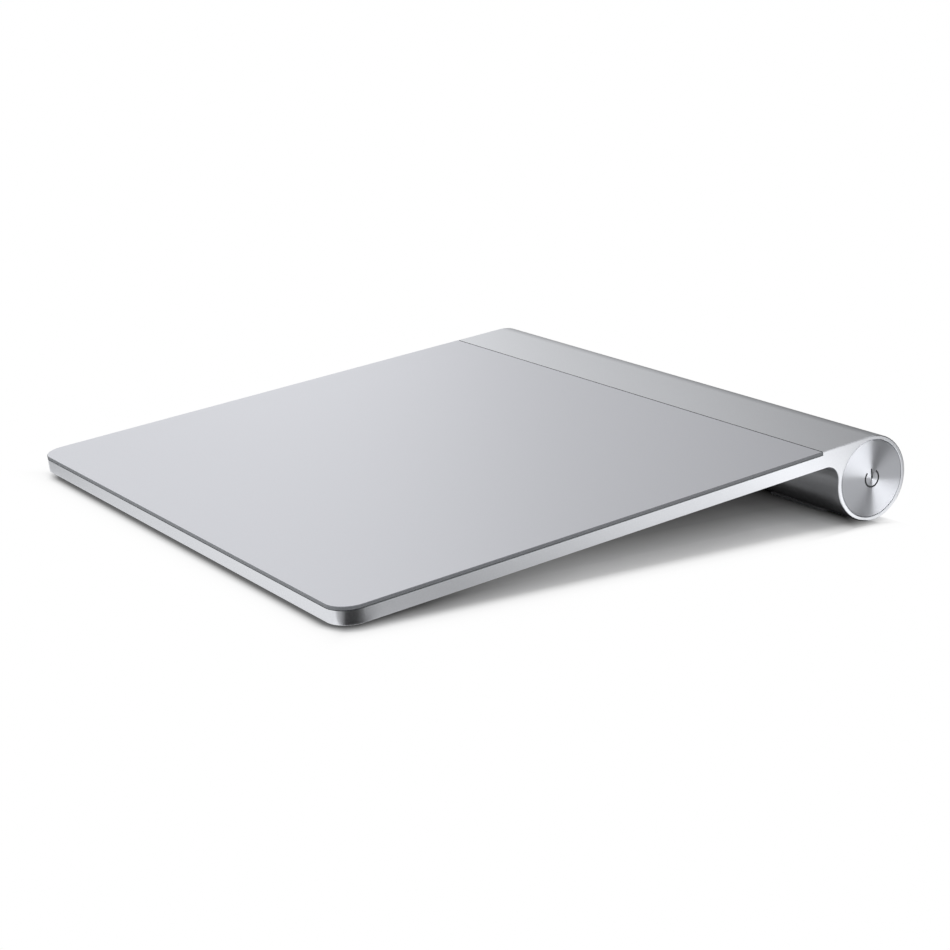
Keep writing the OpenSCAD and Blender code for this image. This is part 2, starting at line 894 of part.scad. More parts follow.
module rear_feet() {
    color("darkgray")
        for (side = [-1, 1])
            linear_extrude(rear_foot_h + rear_foot_seat)
                rear_foot_plan(side, 0);
}

// A cell from its flat end to its cap
module cell(place) {
    can_r = cell_d / 2 - sleeve_t;
    can_l = cell_l - nub_h;
    along_tube()
        translate([0, 0, place])
            rotate_extrude() {
                translate([0, cell_edge])
                    square([can_r, can_l - 2 * cell_edge]);
                square([can_r - cell_edge, can_l]);
                for (edge = [cell_edge, can_l - cell_edge])
                    translate([can_r - cell_edge, edge])
                        circle(cell_edge);
                square([nub_d / 2, cell_l]);
            }
}

module battery_outer() color("goldenrod") cell(cell_x);
module battery_inner() color("goldenrod") cell(cell_x + cell_l + touch_x);

module battery_sleeves() {
    color("dimgray")
        along_tube()
            for (place = [cell_x, cell_x + cell_l + touch_x])
                translate([0, 0, place + sleeve_inset])
                    difference() {
                        cylinder(d = cell_d, h = cell_l - nub_h - 2 * sleeve_inset);
                        translate([0, 0, -past])
                            cylinder(r = cell_d / 2 - sleeve_t + press_gap, h = cell_l + past);
                    }
}

// A round end piece with its outer edge chamfered, from its face inwards
module end_disc(thickness) {
    rotate_extrude()
        polygon([
            [0, 0],
            [button_r - end_chamfer, 0],
            [button_r, end_chamfer],
            [button_r, thickness],
            [0, thickness],
        ]);
}

module battery_cap() {
    color("silver")
        along_tube()
            difference() {
                union() {
                    translate([0, 0, -end_x])
                        end_disc(cap_t);
                    translate([0, 0, cap_head_x - touch_x])
                        cylinder(r = plug_r, h = plug_l + touch_x);
                }
                translate([0, 0, cup_x])
                    cylinder(r = cup_r, h = plug_l + past);
                translate([0, 0, -end_x - past])
                    linear_extrude(coin_depth + past)
                        rotate(90)
                            stadium(coin_l, coin_w);
                translate([0, 0, cup_x - rivet_head_t])
                    cylinder(r = rivet_d / 2 + press_gap, h = plug_l);
            }
}

module contact_rivet() {
    color("lightgray")
        along_tube() {
            translate([0, 0, cup_x - rivet_head_t])
                cylinder(d = rivet_d, h = rivet_head_t + contact_t + touch_x);
            translate([0, 0, cup_x + contact_t + touch_x])
                cylinder(r = rivet_d / 2 + rivet_lip, h = rivet_head_t);
        }
}

module contact_plate() {
    color("gold")
        along_tube()
            translate([0, 0, cup_x])
                difference() {
                    cylinder(r = cup_r - swivel_gap, h = contact_t);
                    translate([0, 0, -past])
                        cylinder(r = rivet_d / 2 + swivel_gap, h = contact_t + 2 * past);
                }
}

module contact_spring() {
    points = [for (i = [0:spring_rings], side = [0:spring_sides - 1]) spring_side(i, side)];
    walls = [
        for (i = [0:spring_rings - 1], side = [0:spring_sides - 1])
            let (next = (side + 1) % spring_sides, here = i * spring_sides, there = here + spring_sides)
            each [[here + side, there + side, here + next], [here + next, there + side, there + next]]
    ];
    last = spring_rings * spring_sides;
    caps = [
        for (side = [1:spring_sides - 2])
            each [[0, side, side + 1], [last, last + side + 1, last + side]]
    ];
    color("gold")
        along_tube()
            polyhedron(points, concat(walls, caps));
}

module positive_contact() {
    color("gold")
        along_tube() {
            translate([0, 0, contact_x])
                cylinder(d = nub_d / 2, h = dimple_h + contact_t);
            translate([0, 0, contact_x + dimple_h])
                cylinder(d = contact_d, h = contact_t);
            translate([0, -tail_w / 2, contact_x + dimple_h])
                cube([tail_r + contact_t, tail_w, contact_t]);
            translate([tail_r, -tail_w / 2, contact_x + dimple_h])
                cube([contact_t, tail_w, end_board_face + contact_t - contact_x - dimple_h]);
        }
}

// Slot for the contact's tail, from the tube end inwards
module tail_slot() {
    translate([tail_r - tail_gap, -tail_w / 2 - tail_gap, carrier_x - past])
        cube([contact_t + 2 * tail_gap, tail_w + 2 * tail_gap, board_in + carrier_l + past]);
}

module end_carrier() {
    color("dimgray")
        along_tube()
            difference() {
                union() {
                    for (place = [carrier_x, end_board_x - flange_t])
                        translate([0, 0, place])
                            cylinder(r = plug_r, h = flange_t);
                    translate([-flat_h, -web_t / 2, carrier_x])
                        cube([flat_h + tail_r - 2 * tail_gap, web_t, carrier_l]);
                    translate([-web_t / 2, -flat_h, carrier_x])
                        cube([web_t, 2 * flat_h, carrier_l]);
                }
                translate([-flat_h - bore_r, -bore_r, carrier_x - past])
                    cube([bore_r, 2 * bore_r, carrier_l + 2 * past]);
                tail_slot();
            }
}

module switch_board() {
    color("seagreen")
        along_tube()
            difference() {
                translate([0, 0, end_board_x])
                    cylinder(r = end_board_r, h = end_board_t);
                tail_slot();
            }
}

module power_switch() {
    color("lightgray")
        along_tube()
            difference() {
                translate([-power_switch_w / 2, -power_switch_w / 2, end_board_face])
                    cube([power_switch_w, power_switch_w, power_switch_t]);
                translate([0, 0, switch_face - button_plunger_in - button_travel - touch_x])
                    cylinder(d = button_plunger_d + 2 * pin_gap, h = power_switch_t);
            }
}

module power_switch_plunger() {
    color("black")
        along_tube()
            translate([0, 0, switch_face - button_plunger_in])
                cylinder(d = button_plunger_d, h = button_plunger_in + button_travel + touch_x);
}

module status_led() {
    color("honeydew")
        along_tube()
            rotate([0, 0, 180 + led_angle])
                translate([led_r, -led_w / 2, end_board_face])
                    cube([led_l, led_w, led_h]);
}

module light_guide() {
    color("white")
        along_tube()
            light_rod(rod_r0, rod_r1, rod_d / 2);
}

module power_button() {
    color("silver")
        along_tube()
            translate([0, 0, end_x])
                mirror([0, 0, 1])
                    end_disc(button_t);
}

module button_skirt() {
    color("dimgray")
        along_tube() {
            difference() {
                translate([0, 0, hook_x])
                    cylinder(r = skirt_r, h = button_x - hook_x);
                translate([0, 0, hook_x - past])
                    cylinder(r = skirt_r - skirt_wall, h = button_x - skirt_plate - hook_x + past);
            }
            translate([0, 0, post_x])
                cylinder(d = post_d, h = button_x - post_x);
            for (hook = [0:3])
                translate([0, 0, hook_x])
                    rotate([0, 0, 90 * hook + 45 - hook_angle / 2])
                        rotate_extrude(angle = hook_angle)
                            translate([skirt_r - skirt_wall / 2, 0])
                                square([skirt_wall / 2 + hook_reach, hook_t]);
        }
}

module retaining_ring() {
    color("dimgray")
        along_tube()
            translate([0, 0, ring_x])
                difference() {
                    cylinder(r = bore_r - press_gap, h = ring_t);
                    translate([0, 0, -past])
                        cylinder(r = skirt_r + skirt_gap, h = ring_t + 2 * past);
                }
}

chassis();
glass_plate();
glass_adhesive();
sensor_adhesive();
sensor_board();
touch_controller();
microcontroller();
radio_module();
radio_antenna();
crystal();
boost_inductor();
board_capacitors();
flex_connector();
power_flex();
click_switch();
click_switch_plunger();
click_lever();
hinge_pins();
hinge_brackets();
bracket_screws();
front_foot_left();
front_foot_right();
bottom_cover();
cover_adhesive();
rear_feet();
battery_outer();
battery_inner();
battery_sleeves();
battery_cap();
contact_rivet();
contact_plate();
contact_spring();
positive_contact();
end_carrier();
switch_board();
power_switch();
power_switch_plunger();
status_led();
light_guide();
power_button();
button_skirt();
retaining_ring();
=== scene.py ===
import json
import math

import bmesh
import bpy
from mathutils import Matrix, Vector


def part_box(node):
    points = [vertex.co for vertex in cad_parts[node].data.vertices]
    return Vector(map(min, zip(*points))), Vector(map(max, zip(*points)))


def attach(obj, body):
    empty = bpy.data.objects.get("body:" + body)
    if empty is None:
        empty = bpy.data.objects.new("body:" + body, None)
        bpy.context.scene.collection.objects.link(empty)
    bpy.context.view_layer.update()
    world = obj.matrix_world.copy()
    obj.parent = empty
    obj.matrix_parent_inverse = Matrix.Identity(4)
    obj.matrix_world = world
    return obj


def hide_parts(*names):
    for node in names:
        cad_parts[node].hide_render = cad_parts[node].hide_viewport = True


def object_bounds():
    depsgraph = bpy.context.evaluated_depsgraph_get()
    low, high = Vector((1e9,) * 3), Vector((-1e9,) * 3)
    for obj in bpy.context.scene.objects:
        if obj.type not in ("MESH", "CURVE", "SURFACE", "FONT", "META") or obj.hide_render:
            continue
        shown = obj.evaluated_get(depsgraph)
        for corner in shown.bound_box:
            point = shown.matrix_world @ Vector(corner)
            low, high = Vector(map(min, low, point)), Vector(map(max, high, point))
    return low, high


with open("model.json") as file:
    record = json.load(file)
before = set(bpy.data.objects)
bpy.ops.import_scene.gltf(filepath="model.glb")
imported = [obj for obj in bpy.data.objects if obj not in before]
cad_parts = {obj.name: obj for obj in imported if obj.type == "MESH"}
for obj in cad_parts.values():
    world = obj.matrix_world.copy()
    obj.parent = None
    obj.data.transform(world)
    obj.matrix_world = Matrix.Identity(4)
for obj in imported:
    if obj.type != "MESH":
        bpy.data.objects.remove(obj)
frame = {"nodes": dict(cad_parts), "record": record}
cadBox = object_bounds()
nodes = frame["nodes"]
scene = bpy.context.scene
mm = 0.001  # sizes below are in millimetres and are turned to metres with this
print("frame loaded,", len(nodes), "nodes")


# The sloping pad's own directions, read from the largest upward face of the glass node
def readPad():
    mesh = nodes["glass_plate"].data
    upward = 0.9  # the least Z of an upward face's normal
    top = max((face for face in mesh.polygons if face.normal.z > upward), key=lambda face: face.area)
    normal = top.normal.copy()
    upSlope = Vector((0, normal.z, -normal.y))
    corners = [vertex.co for vertex in mesh.vertices]
    heights = [point.dot(normal) for point in corners]
    ways = [point.dot(upSlope) for point in corners]
    return {
        "normal": normal,
        "upSlope": upSlope,
        "level": max(heights),
        "thickness": max(heights) - min(heights),
        "front": min(ways),
        "back": max(ways),
        "halfWidth": max(point.x for point in corners),
    }


pad = readPad()


# A point of the pad: u across, v up the slope from the front edge, w along the normal from the touch surface
def padPoint(u, v, w):
    along = pad["upSlope"] * (pad["front"] + v)
    return Vector((u, 0, 0)) + along + pad["normal"] * (pad["level"] + w)


# How far up the slope a point lies, from the front edge
def slopeOf(point):
    return point.dot(pad["upSlope"]) - pad["front"]


# How high a point lies along the pad's normal
def heightOf(point):
    return point.dot(pad["normal"])


# The tube runs along X through the middle of the button
buttonLow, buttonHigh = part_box("power_button")
capLow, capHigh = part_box("battery_cap")
tubeY = (buttonLow.y + buttonHigh.y) / 2
tubeZ = (buttonLow.z + buttonHigh.z) / 2


# Colours are written as sRGB hex and turned to linear here
def hexColor(code):
    parts = [int(code[i:i + 2], 16) / 255 for i in (1, 3, 5)]
    return [part / 12.92 if part <= 0.04045 else ((part + 0.055) / 1.055) ** 2.4 for part in parts] + [1.0]


# One texture cell of this size, in millimetres, as a texture scale on metre coordinates
def perMm(size):
    return 1 / (size * mm)


# The same for a wave texture, which repeats every twentieth of a full turn
def wavePerMm(pitch):
    return 2 * math.pi / 20 / (pitch * mm)


# Adds a node: values are socket values or links by socket name or number, the rest are node settings
def addNode(tree, kind, values=None, **settings):
    node = tree.nodes.new(kind)
    for name, value in settings.items():
        setattr(node, name, value)
    for name, value in (values or {}).items():
        if isinstance(value, bpy.types.NodeSocket):
            tree.links.new(value, node.inputs[name])
        else:
            node.inputs[name].default_value = value
    return node


# One step of arithmetic
def mathNode(tree, operation, *values):
    return addNode(tree, "ShaderNodeMath", dict(enumerate(values)), operation=operation).outputs[0]


# How far a value has come from start to stop, as a share from 0 to 1
def shareNode(tree, value, start, stop, **settings):
    values = {"Value": value, "From Min": start, "From Max": stop}
    return addNode(tree, "ShaderNodeMapRange", values, **settings).outputs[0]


# Two colours mixed by a share, or multiplied
def mixNode(tree, share, one, two, blend="MIX"):
    values = {0: share, 6: one, 7: two}
    return addNode(tree, "ShaderNodeMix", values, data_type="RGBA", blend_type=blend).outputs[2]


# Greys at shares of a way, joined by straight ramps
def rampNode(tree, share, tones):
    ramp = addNode(tree, "ShaderNodeValToRGB", {0: share})
    stops = ramp.color_ramp.elements
    for i, (place, tone) in enumerate(tones):
        stop = stops[i] if i < 2 else stops.new(place)
        stop.position = place
        stop.color = (tone, tone, tone, 1)
    return ramp.outputs["Color"]


# A material with one plain shader, and the metre coordinates for its patterns
def newMaterial(name):
    material = bpy.data.materials.new(name)
    material.use_nodes = True
    tree = material.node_tree
    tree.nodes.clear()
    shader = addNode(tree, "ShaderNodeBsdfPrincipled")
    addNode(tree, "ShaderNodeOutputMaterial", {"Surface": shader.outputs[0]})
    place = addNode(tree, "ShaderNodeTexCoord").outputs["Object"]
    return material, tree, shader, place


# What the materials share: fineness and relief of grain, relief of tracks, and where they start in a routed area
patterns = {"grainDetail": 3.0, "grainBump": 0.5, "trackBump": 0.4, "trackHeight": 0.03, "trackFrom": 0.45}


# Two tones mixed by a noise of one grain size, with roughness and a fine bump from the same noise
def grainedMaterial(name, light, dark, grain, roughness, spread=0.05, relief=0.004, metallic=0.0,
                    stretch=(1, 1, 1)):
    material, tree, shader, place = newMaterial(name)
    drawn = addNode(tree, "ShaderNodeMapping", {"Vector": place, "Scale": stretch}).outputs[0]
    noise = addNode(tree, "ShaderNodeTexNoise", {
        "Vector": drawn, "Scale": perMm(grain), "Detail": patterns["grainDetail"]}).outputs["Fac"]
    rough = addNode(tree, "ShaderNodeMapRange", {
        "Value": noise, "To Min": roughness - spread, "To Max": roughness + spread}).outputs[0]
    bump = addNode(tree, "ShaderNodeBump", {
        "Strength": patterns["grainBump"], "Distance": relief * mm, "Height": noise}).outputs[0]
    shader.inputs["Metallic"].default_value = metallic
    tree.links.new(mixNode(tree, noise, hexColor(dark), hexColor(light)), shader.inputs["Base Color"])
    tree.links.new(rough, shader.inputs["Roughness"])
    tree.links.new(bump, shader.inputs["Normal"])
    return material


# A ground colour with straight lines of a second one, for copper under film or solder mask
def linedMaterial(name, ground, line, pitch, share, roughness, direction, patch=0.0):
    material, tree, shader, place = newMaterial(name)
    bands = addNode(tree, "ShaderNodeTexWave", {"Vector": place, "Scale": wavePerMm(pitch)},
                    wave_type="BANDS", bands_direction=direction)
    mask = mathNode(tree, "GREATER_THAN", bands.outputs["Fac"], 1 - share)
    if patch:
        areas = addNode(tree, "ShaderNodeTexVoronoi", {"Vector": place, "Scale": perMm(patch)},
                        distance="MANHATTAN")
        routed = mathNode(tree, "GREATER_THAN", areas.outputs["Distance"], patterns["trackFrom"])
        mask = mathNode(tree, "MULTIPLY", mask, routed)
    bump = addNode(tree, "ShaderNodeBump", {
        "Strength": patterns["trackBump"], "Distance": patterns["trackHeight"] * mm, "Height": mask}).outputs[0]
    shader.inputs["Roughness"].default_value = roughness
    tree.links.new(mixNode(tree, mask, hexColor(ground), hexColor(line)), shader.inputs["Base Color"])
    tree.links.new(bump, shader.inputs["Normal"])
    return material


blastedLook = {"light": "#F4F6FA", "dark": "#E8EAEF", "grain": 0.3, "roughness": 0.33, "spread": 0.05,
               "relief": 0.006}
glassLook = {"light": "#E2E3E9", "dark": "#DADCE2", "grain": 0.25, "roughness": 0.36, "spread": 0.03,
             "relief": 0.002, "metallic": 0.85}
turnedLook = {"light": "#CBCDD2", "dark": "#BFC1C6", "ringPitch": 0.16, "ringWaver": 0.4, "ringDetail": 1.0,
              "bump": 0.3, "relief": 0.0012, "roughness": 0.48, "anisotropy": 1.0, "quarterTurn": 0.25}


# Turned aluminium: fine rings round the axis stretch every reflection into a wedge across the face
# The tool's rings are about 0.05 mm apart and are drawn at 0.16 mm
def turnedAluminium(name, axisX):
    material, tree, shader, place = newMaterial(name)
    centred = addNode(tree, "ShaderNodeMapping", {"Vector": place, "Location": (-axisX, -tubeY, -tubeZ)})
    rings = addNode(tree, "ShaderNodeTexWave", {
        "Vector": centred.outputs[0], "Scale": wavePerMm(turnedLook["ringPitch"]),
        "Distortion": turnedLook["ringWaver"], "Detail": turnedLook["ringDetail"]},
        wave_type="RINGS", rings_direction="X").outputs["Fac"]
    tone = mixNode(tree, rings, hexColor(turnedLook["dark"]), hexColor(turnedLook["light"]))
    bump = addNode(tree, "ShaderNodeBump", {
        "Strength": turnedLook["bump"], "Distance": turnedLook["relief"] * mm, "Height": rings}).outputs[0]
    tangent = addNode(tree, "ShaderNodeTangent", direction_type="RADIAL", axis="X").outputs[0]
    shader.inputs["Metallic"].default_value = 1.0
    shader.inputs["Roughness"].default_value = turnedLook["roughness"]
    shader.inputs["Anisotropic"].default_value = turnedLook["anisotropy"]
    shader.inputs["Anisotropic Rotation"].default_value = turnedLook["quarterTurn"]
    tree.links.new(tone, shader.inputs["Base Color"])
    tree.links.new(bump, shader.inputs["Normal"])
    tree.links.new(tangent, shader.inputs["Tangent"])
    return material


# Anodised aluminium, bead blasted: a fine even sparkle, no brush lines, soft wide reflections
# The blast dimples are about 0.08 mm and are drawn near 0.3 mm so that they show
aluminium = grainedMaterial("blastedAluminium", metallic=1.0, **blastedLook)
# Etched glass over silver ink: matt and pale, with a broad soft gloss and no mirror image
# The etch is finer than 0.05 mm and is drawn at 0.25 mm so that it shows
glassTop = grainedMaterial("etchedGlass", **glassLook)
# Ground glass edge: grey and dim, because light is lost inside the pane
glassEdge = grainedMaterial("groundGlassEdge", "#86898E", "#75787D", 0.4, 0.38)
# Painted shade in the seam: the housing's seam wall is coloured dark and dull so that the narrow gap reads dark
seamPaintedShade = grainedMaterial("seamPaintedShade", "#55575B", "#46484C", 0.8, 0.6)
# The symbol's cut lines: dark grey and dull, with a rough floor
engraved = grainedMaterial("engravedLine", "#3A3C40", "#26282B", 0.2, 0.55)
# Moulded silicone rubber: grey, dull and slightly pebbled, so that it grips
rubber = grainedMaterial("footRubber", "#8E9093", "#7E8083", 0.35, 0.72, 0.06, 0.02)
# Moulded ABS: pale, with the even fine pebble of a spark-eroded mould
coverPlastic = grainedMaterial("mouldedAbs", "#E9EAEB", "#DFE0E2", 0.5, 0.48, 0.06, 0.012)
# Nickel-plated spring steel: bright and slightly warm, with the fine cloud of its plating
nickel = grainedMaterial("nickelPlate", "#D9D4C8", "#BDB8AC", 0.5, 0.28, 0.08, 0.003, metallic=1.0)

# Finishes of the pieces inside, by the record's material slots
innerFinishes = {
    # Acrylic bonding film: dark, rubbery, with the ripple of its liner
    "adhesive_film": grainedMaterial("acrylicFilm", "#3C3D40", "#2C2D2F", 2.0, 0.6, 0.08, 0.01),
    # Solder mask on glass-fibre board: deep green, glossy, tracks raised under it
    "circuit_board": linedMaterial("solderMask", "#1E4A30", "#2F6A45", 0.9, 0.4, 0.32, "DIAGONAL", patch=7.0),
    # Filled epoxy of a chip: black-grey and matt with a fine sand grain
    "chip_resin": grainedMaterial("chipEpoxy", "#2B2C2E", "#1D1E20", 0.25, 0.62, 0.06, 0.008),
    # Tin-plated steel of the radio's can: bright, with the faint spangle of the plating
    "tinned_steel": grainedMaterial("tinPlate", "#CFD0D0", "#B3B5B6", 1.2, 0.3, 0.1, 0.003, metallic=1.0),
    # Fired ceramic of chip parts: tan and dull
    "chip_ceramic": grainedMaterial("firedCeramic", "#A58A68", "#8F7555", 0.3, 0.55, 0.05, 0.006),
    # Polyimide film over copper: amber, smooth, with the tracks showing through
    "polyimide_cable": linedMaterial("polyimideFilm", "#B4702A", "#8E4E1C", 0.7, 0.55, 0.34, "Y"),
    # Glass-filled nylon: ivory, with short fibres at the surface
    "ivory_plastic": grainedMaterial("ivoryNylon", "#E4DCC6", "#D5CBB2", 0.4, 0.5, 0.05, 0.006,
                                     stretch=(1, 3, 1)),
    # Black nylon of switch bodies and the carrier: dark, slightly glossy on its mould flats
    "black_plastic": grainedMaterial("blackNylon", "#2E2F31", "#212224", 0.4, 0.44, 0.06, 0.006),
    # Cold-rolled stainless steel: straight rolling streaks along its length
    "stamped_steel": grainedMaterial("rolledSteel", "#C2C3C4", "#A3A5A7", 0.6, 0.3, 0.08, 0.003, metallic=1.0,
                                     stretch=(0.05, 1, 1)),
    # Nickel-plated steel can of a cell: bright, with drawing lines along it
    "cell_can": grainedMaterial("drawnCan", "#C9C8C4", "#AEADA9", 0.4, 0.26, 0.08, 0.003, metallic=1.0,
                                stretch=(0.04, 1, 1)),
    # Shrink sleeve of a cell: plain dark film with a soft gloss
    "cell_sleeve": grainedMaterial("shrinkSleeve", "#4A4E55", "#42464C", 3.0, 0.33, 0.05, 0.004),
    "contact_metal": nickel,
    # Cast epoxy of the indicator: pale green and glossy
    "indicator_lens": grainedMaterial("castEpoxy", "#C9E6CC", "#B7D8BB", 0.8, 0.18, 0.05, 0.002),
    "anodised_aluminium": aluminium,
    "foot_rubber": rubber,
    "cover_plastic": coverPlastic,
}
print("materials made:", len(bpy.data.materials))

# Mesh work: the weld in mm, and the angles in degrees of flat faces, rounded edges and sharp shading
meshPlan = {"weld": 0.0001, "flat": 0.1, "crease": 30, "softSharp": 28, "cutSharp": 25, "paneSharp": 30}


# A finished mesh becomes a piece with its materials and its body, and the nodes it stands for are hidden; the slot
# is not used
def addPiece(name, mesh, materials, body, slot, *replaced):
    piece = bpy.data.objects.new(name, mesh)
    scene.collection.objects.link(piece)
    for material in materials:
        mesh.materials.append(material)
    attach(piece, body)
    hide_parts(*replaced)
    return piece


# Turns live modifiers into a plain mesh
def bakeModifiers(piece):
    graph = bpy.context.evaluated_depsgraph_get()
    plain = bpy.data.meshes.new_from_object(piece.evaluated_get(graph))
    piece.modifiers.clear()
    piece.data = plain
    return piece


# Solids made in code go into a mesh of their own
def asMesh(name, work):
    mesh = bpy.data.meshes.new(name)
    work.to_mesh(mesh)
    work.free()
    return mesh


# A copy of a CAD node's mesh with its loose triangles merged and its flat faces made whole
def mergedCopy(node):
    work = bmesh.new()
    work.from_mesh(nodes[node].data)
    bmesh.ops.remove_doubles(work, verts=work.verts, dist=meshPlan["weld"] * mm)
    bmesh.ops.dissolve_limit(work, angle_limit=math.radians(meshPlan["flat"]), verts=work.verts, edges=work.edges)
    return work


# Rounds the edges by bevel weights: pick gives an edge's share of the width from its two ends
def softened(name, work, width, steps, pick):
    weight = work.edges.layers.float.new("bevel_weight_edge")
    for edge in work.edges:
        if edge.calc_face_angle(0) > math.radians(meshPlan["crease"]):
            edge[weight] = float(pick(*[vertex.co for vertex in edge.verts]))
    for face in work.faces:
        face.smooth = True
    piece = bpy.data.objects.new(name + "Work", asMesh(name, work))
    scene.collection.objects.link(piece)
    bevel = piece.modifiers.new("edge", "BEVEL")
    bevel.limit_method = "WEIGHT"
    bevel.width = width * mm
    bevel.segments = steps
    bevel.use_clamp_overlap = False
    bakeModifiers(piece)
    piece.data.set_sharp_from_angle(angle=math.radians(meshPlan["softSharp"]))
    shade = piece.modifiers.new("shade", "WEIGHTED_NORMAL")
    shade.keep_sharp = True
    bakeModifiers(piece)
    finished = piece.data
    finished.name = name
    bpy.data.objects.remove(piece)
    finished.materials.clear()
    return finished


# Cuts one closed mesh out of another and keeps the cutter's material on the cut faces
def carved(name, mesh, cutMesh):
    piece = bpy.data.objects.new(name + "Work", mesh)
    cutter = bpy.data.objects.new(name + "Cut", cutMesh)
    for item in (piece, cutter):
        scene.collection.objects.link(item)
    cut = piece.modifiers.new("cut", "BOOLEAN")
    cut.operation = "DIFFERENCE"
    cut.solver = "EXACT"
    cut.material_mode = "TRANSFER"
    cut.object = cutter
    bakeModifiers(piece)
    finished = piece.data
    finished.name = name
    for item in (piece, cutter):
        bpy.data.objects.remove(item)
    finished.set_sharp_from_angle(angle=math.radians(meshPlan["cutSharp"]))
    return finished


# Shares are of the edge's width; near, frontStrip, boreRim and the painted seam shade's band are distances for
# finding edges and faces
housingPlan = {"edge": 0.24, "steps": 4, "boreShare": 0.5, "bottomShare": 0.4, "neckBlend": 2.0,
               "cornerRadius": 5.0, "seam": 0.15, "near": 0.02, "frontStrip": 1.0, "boreRim": 0.3,
               "seamShadeBand": 0.3, "seamShadeFacing": 0.9}


# The extrusion: its outer edges are broken, the inside is left as milled
# The break is full round the tube's ends, thin under the plate, and grows from one to the other along the neck
def makeHousing():
    low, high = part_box("chassis")
    near = housingPlan["near"] * mm
    thin = housingPlan["bottomShare"]
    radius = housingPlan["cornerRadius"] * mm
    seamPlace = pad["back"] - pad["front"] + housingPlan["seam"] * mm
    bore = (buttonHigh.z - buttonLow.z) / 2 + housingPlan["boreRim"] * mm
    frontHeights = [heightOf(vertex.co) for vertex in nodes["chassis"].data.vertices
                    if vertex.co.y < low.y + housingPlan["frontStrip"] * mm]
    bottom, ledge = min(frontHeights), max(frontHeights)

    def onFrontEdge(point):
        v = slopeOf(point)
        inCorner = Vector((max(abs(point.x) - pad["halfWidth"] + radius, 0), max(radius - v, 0)))
        return v < radius + near and abs(inCorner.length - radius) < near * 4

    def pick(a, b):
        ends = (a, b)
        if all(abs(heightOf(end) - bottom) < near and onFrontEdge(end) for end in ends):
            return thin
        if a.x * b.x < 0 or any(abs(abs(end.x) - high.x) > near for end in ends):
            return 0.0
        if any(slopeOf(end) < seamPlace - near and abs(heightOf(end) - ledge) < near for end in ends):
            return 0.0
        if all(abs(slopeOf(end) - seamPlace) < near for end in ends):
            return 0.0
        if all(math.hypot(end.y - tubeY, end.z - tubeZ) < bore for end in ends):
            return housingPlan["boreShare"]
        middle = (a + b) / 2
        depth = bottom - heightOf(middle)
        if depth < -near or middle.y > tubeY:
            return 1.0
        return thin + (1 - thin) * min(1, math.sqrt(max(depth, 0) / (housingPlan["neckBlend"] * mm)))

    mesh = softened("housing", mergedCopy("chassis"), housingPlan["edge"], housingPlan["steps"], pick)
    addPiece("housing", mesh, [aluminium, seamPaintedShade], "base", "anodised_aluminium", "chassis")
    # Painted shade: the faces of the seam wall take the dark seam colour
    for face in mesh.polygons:
        inSeam = abs(slopeOf(face.center) - seamPlace) < housingPlan["seamShadeBand"] * mm
        if inSeam and face.normal.dot(pad["upSlope"]) < -housingPlan["seamShadeFacing"]:
            face.material_index = 1


makeHousing()
print("housing made")

glassPlan = {"cornerRadius": 5.0, "cornerSteps": 24, "chamfer": 0.1}


# The pane: an outline with two round front corners, a thin ground chamfer and dim sides
def makeGlass():
    radius = glassPlan["cornerRadius"] * mm
    chamfer = glassPlan["chamfer"] * mm
    half = pad["halfWidth"]
    depth = pad["back"] - pad["front"]
    steps = glassPlan["cornerSteps"]

    def outline(inset):
        points = [(half - inset, depth - inset), (inset - half, depth - inset)]
        for side in (-1, 1):
            turn = [math.pi / 2 * i / steps for i in range(steps + 1)]
            for angle in (turn if side < 0 else reversed(turn)):
                points.append((side * (half - radius + (radius - inset) * math.cos(angle)),
                               radius - (radius - inset) * math.sin(angle)))
        return points

    work = bmesh.new()
    rings = []
    for inset, w in ((chamfer / 2, -pad["thickness"]), (0, chamfer / 2 - pad["thickness"]), (0, -chamfer),
                     (chamfer, 0)):
        rings.append([work.verts.new(padPoint(u, v, w)) for u, v in outline(inset)])
    for lower, upper in zip(rings, rings[1:]):
        for i in range(len(lower)):
            j = (i + 1) % len(lower)
            side = work.faces.new((lower[i], lower[j], upper[j], upper[i]))
            side.material_index = 1
            side.smooth = True
    work.faces.new(rings[-1])
    work.faces.new(list(reversed(rings[0]))).material_index = 1
    bmesh.ops.recalc_face_normals(work, faces=work.faces)
    mesh = asMesh("touchGlass", work)
    mesh.set_sharp_from_angle(angle=math.radians(meshPlan["paneSharp"]))
    addPiece("touchGlass", mesh, [glassTop, glassEdge], "base", "matt_glass", "glass_plate")


makeGlass()
print("glass made")


# A turned solid about the tube's axis; the profile is (x, radius) pairs in metres from axis to axis
def turnedSolid(profile, steps):
    work = bmesh.new()
    rings = []
    for x, radius in profile:
        count = steps if radius > 0 else 1
        turn = [2 * math.pi * i / count for i in range(count)]
        spokes = [(radius * math.cos(angle), radius * math.sin(angle)) for angle in turn]
        rings.append([work.verts.new((x, tubeY + y, tubeZ + z)) for y, z in spokes])
    for one, two in zip(rings, rings[1:]):
        for i in range(steps):
            j = (i + 1) % steps
            corners = [one[i % len(one)], one[j % len(one)], two[j % len(two)], two[i % len(two)]]
            work.faces.new(list(dict.fromkeys(corners)))
    bmesh.ops.recalc_face_normals(work, faces=work.faces)
    for face in work.faces:
        face.smooth = True
    return work


# A flat outline across the tube's axis as a closed prism from one x to another
def endPrism(work, outline, xFrom, xTo, back, up):
    layers = []
    for x in (xFrom, xTo):
        layers.append([work.verts.new(Vector((x, tubeY, tubeZ)) + back * a + up * b) for a, b in outline])
    for i in range(len(outline)):
        j = (i + 1) % len(outline)
        work.faces.new((layers[0][i], layers[0][j], layers[1][j], layers[1][i]))
    work.faces.new(layers[0])
    work.faces.new(list(reversed(layers[1])))
    bmesh.ops.recalc_face_normals(work, faces=work.faces)


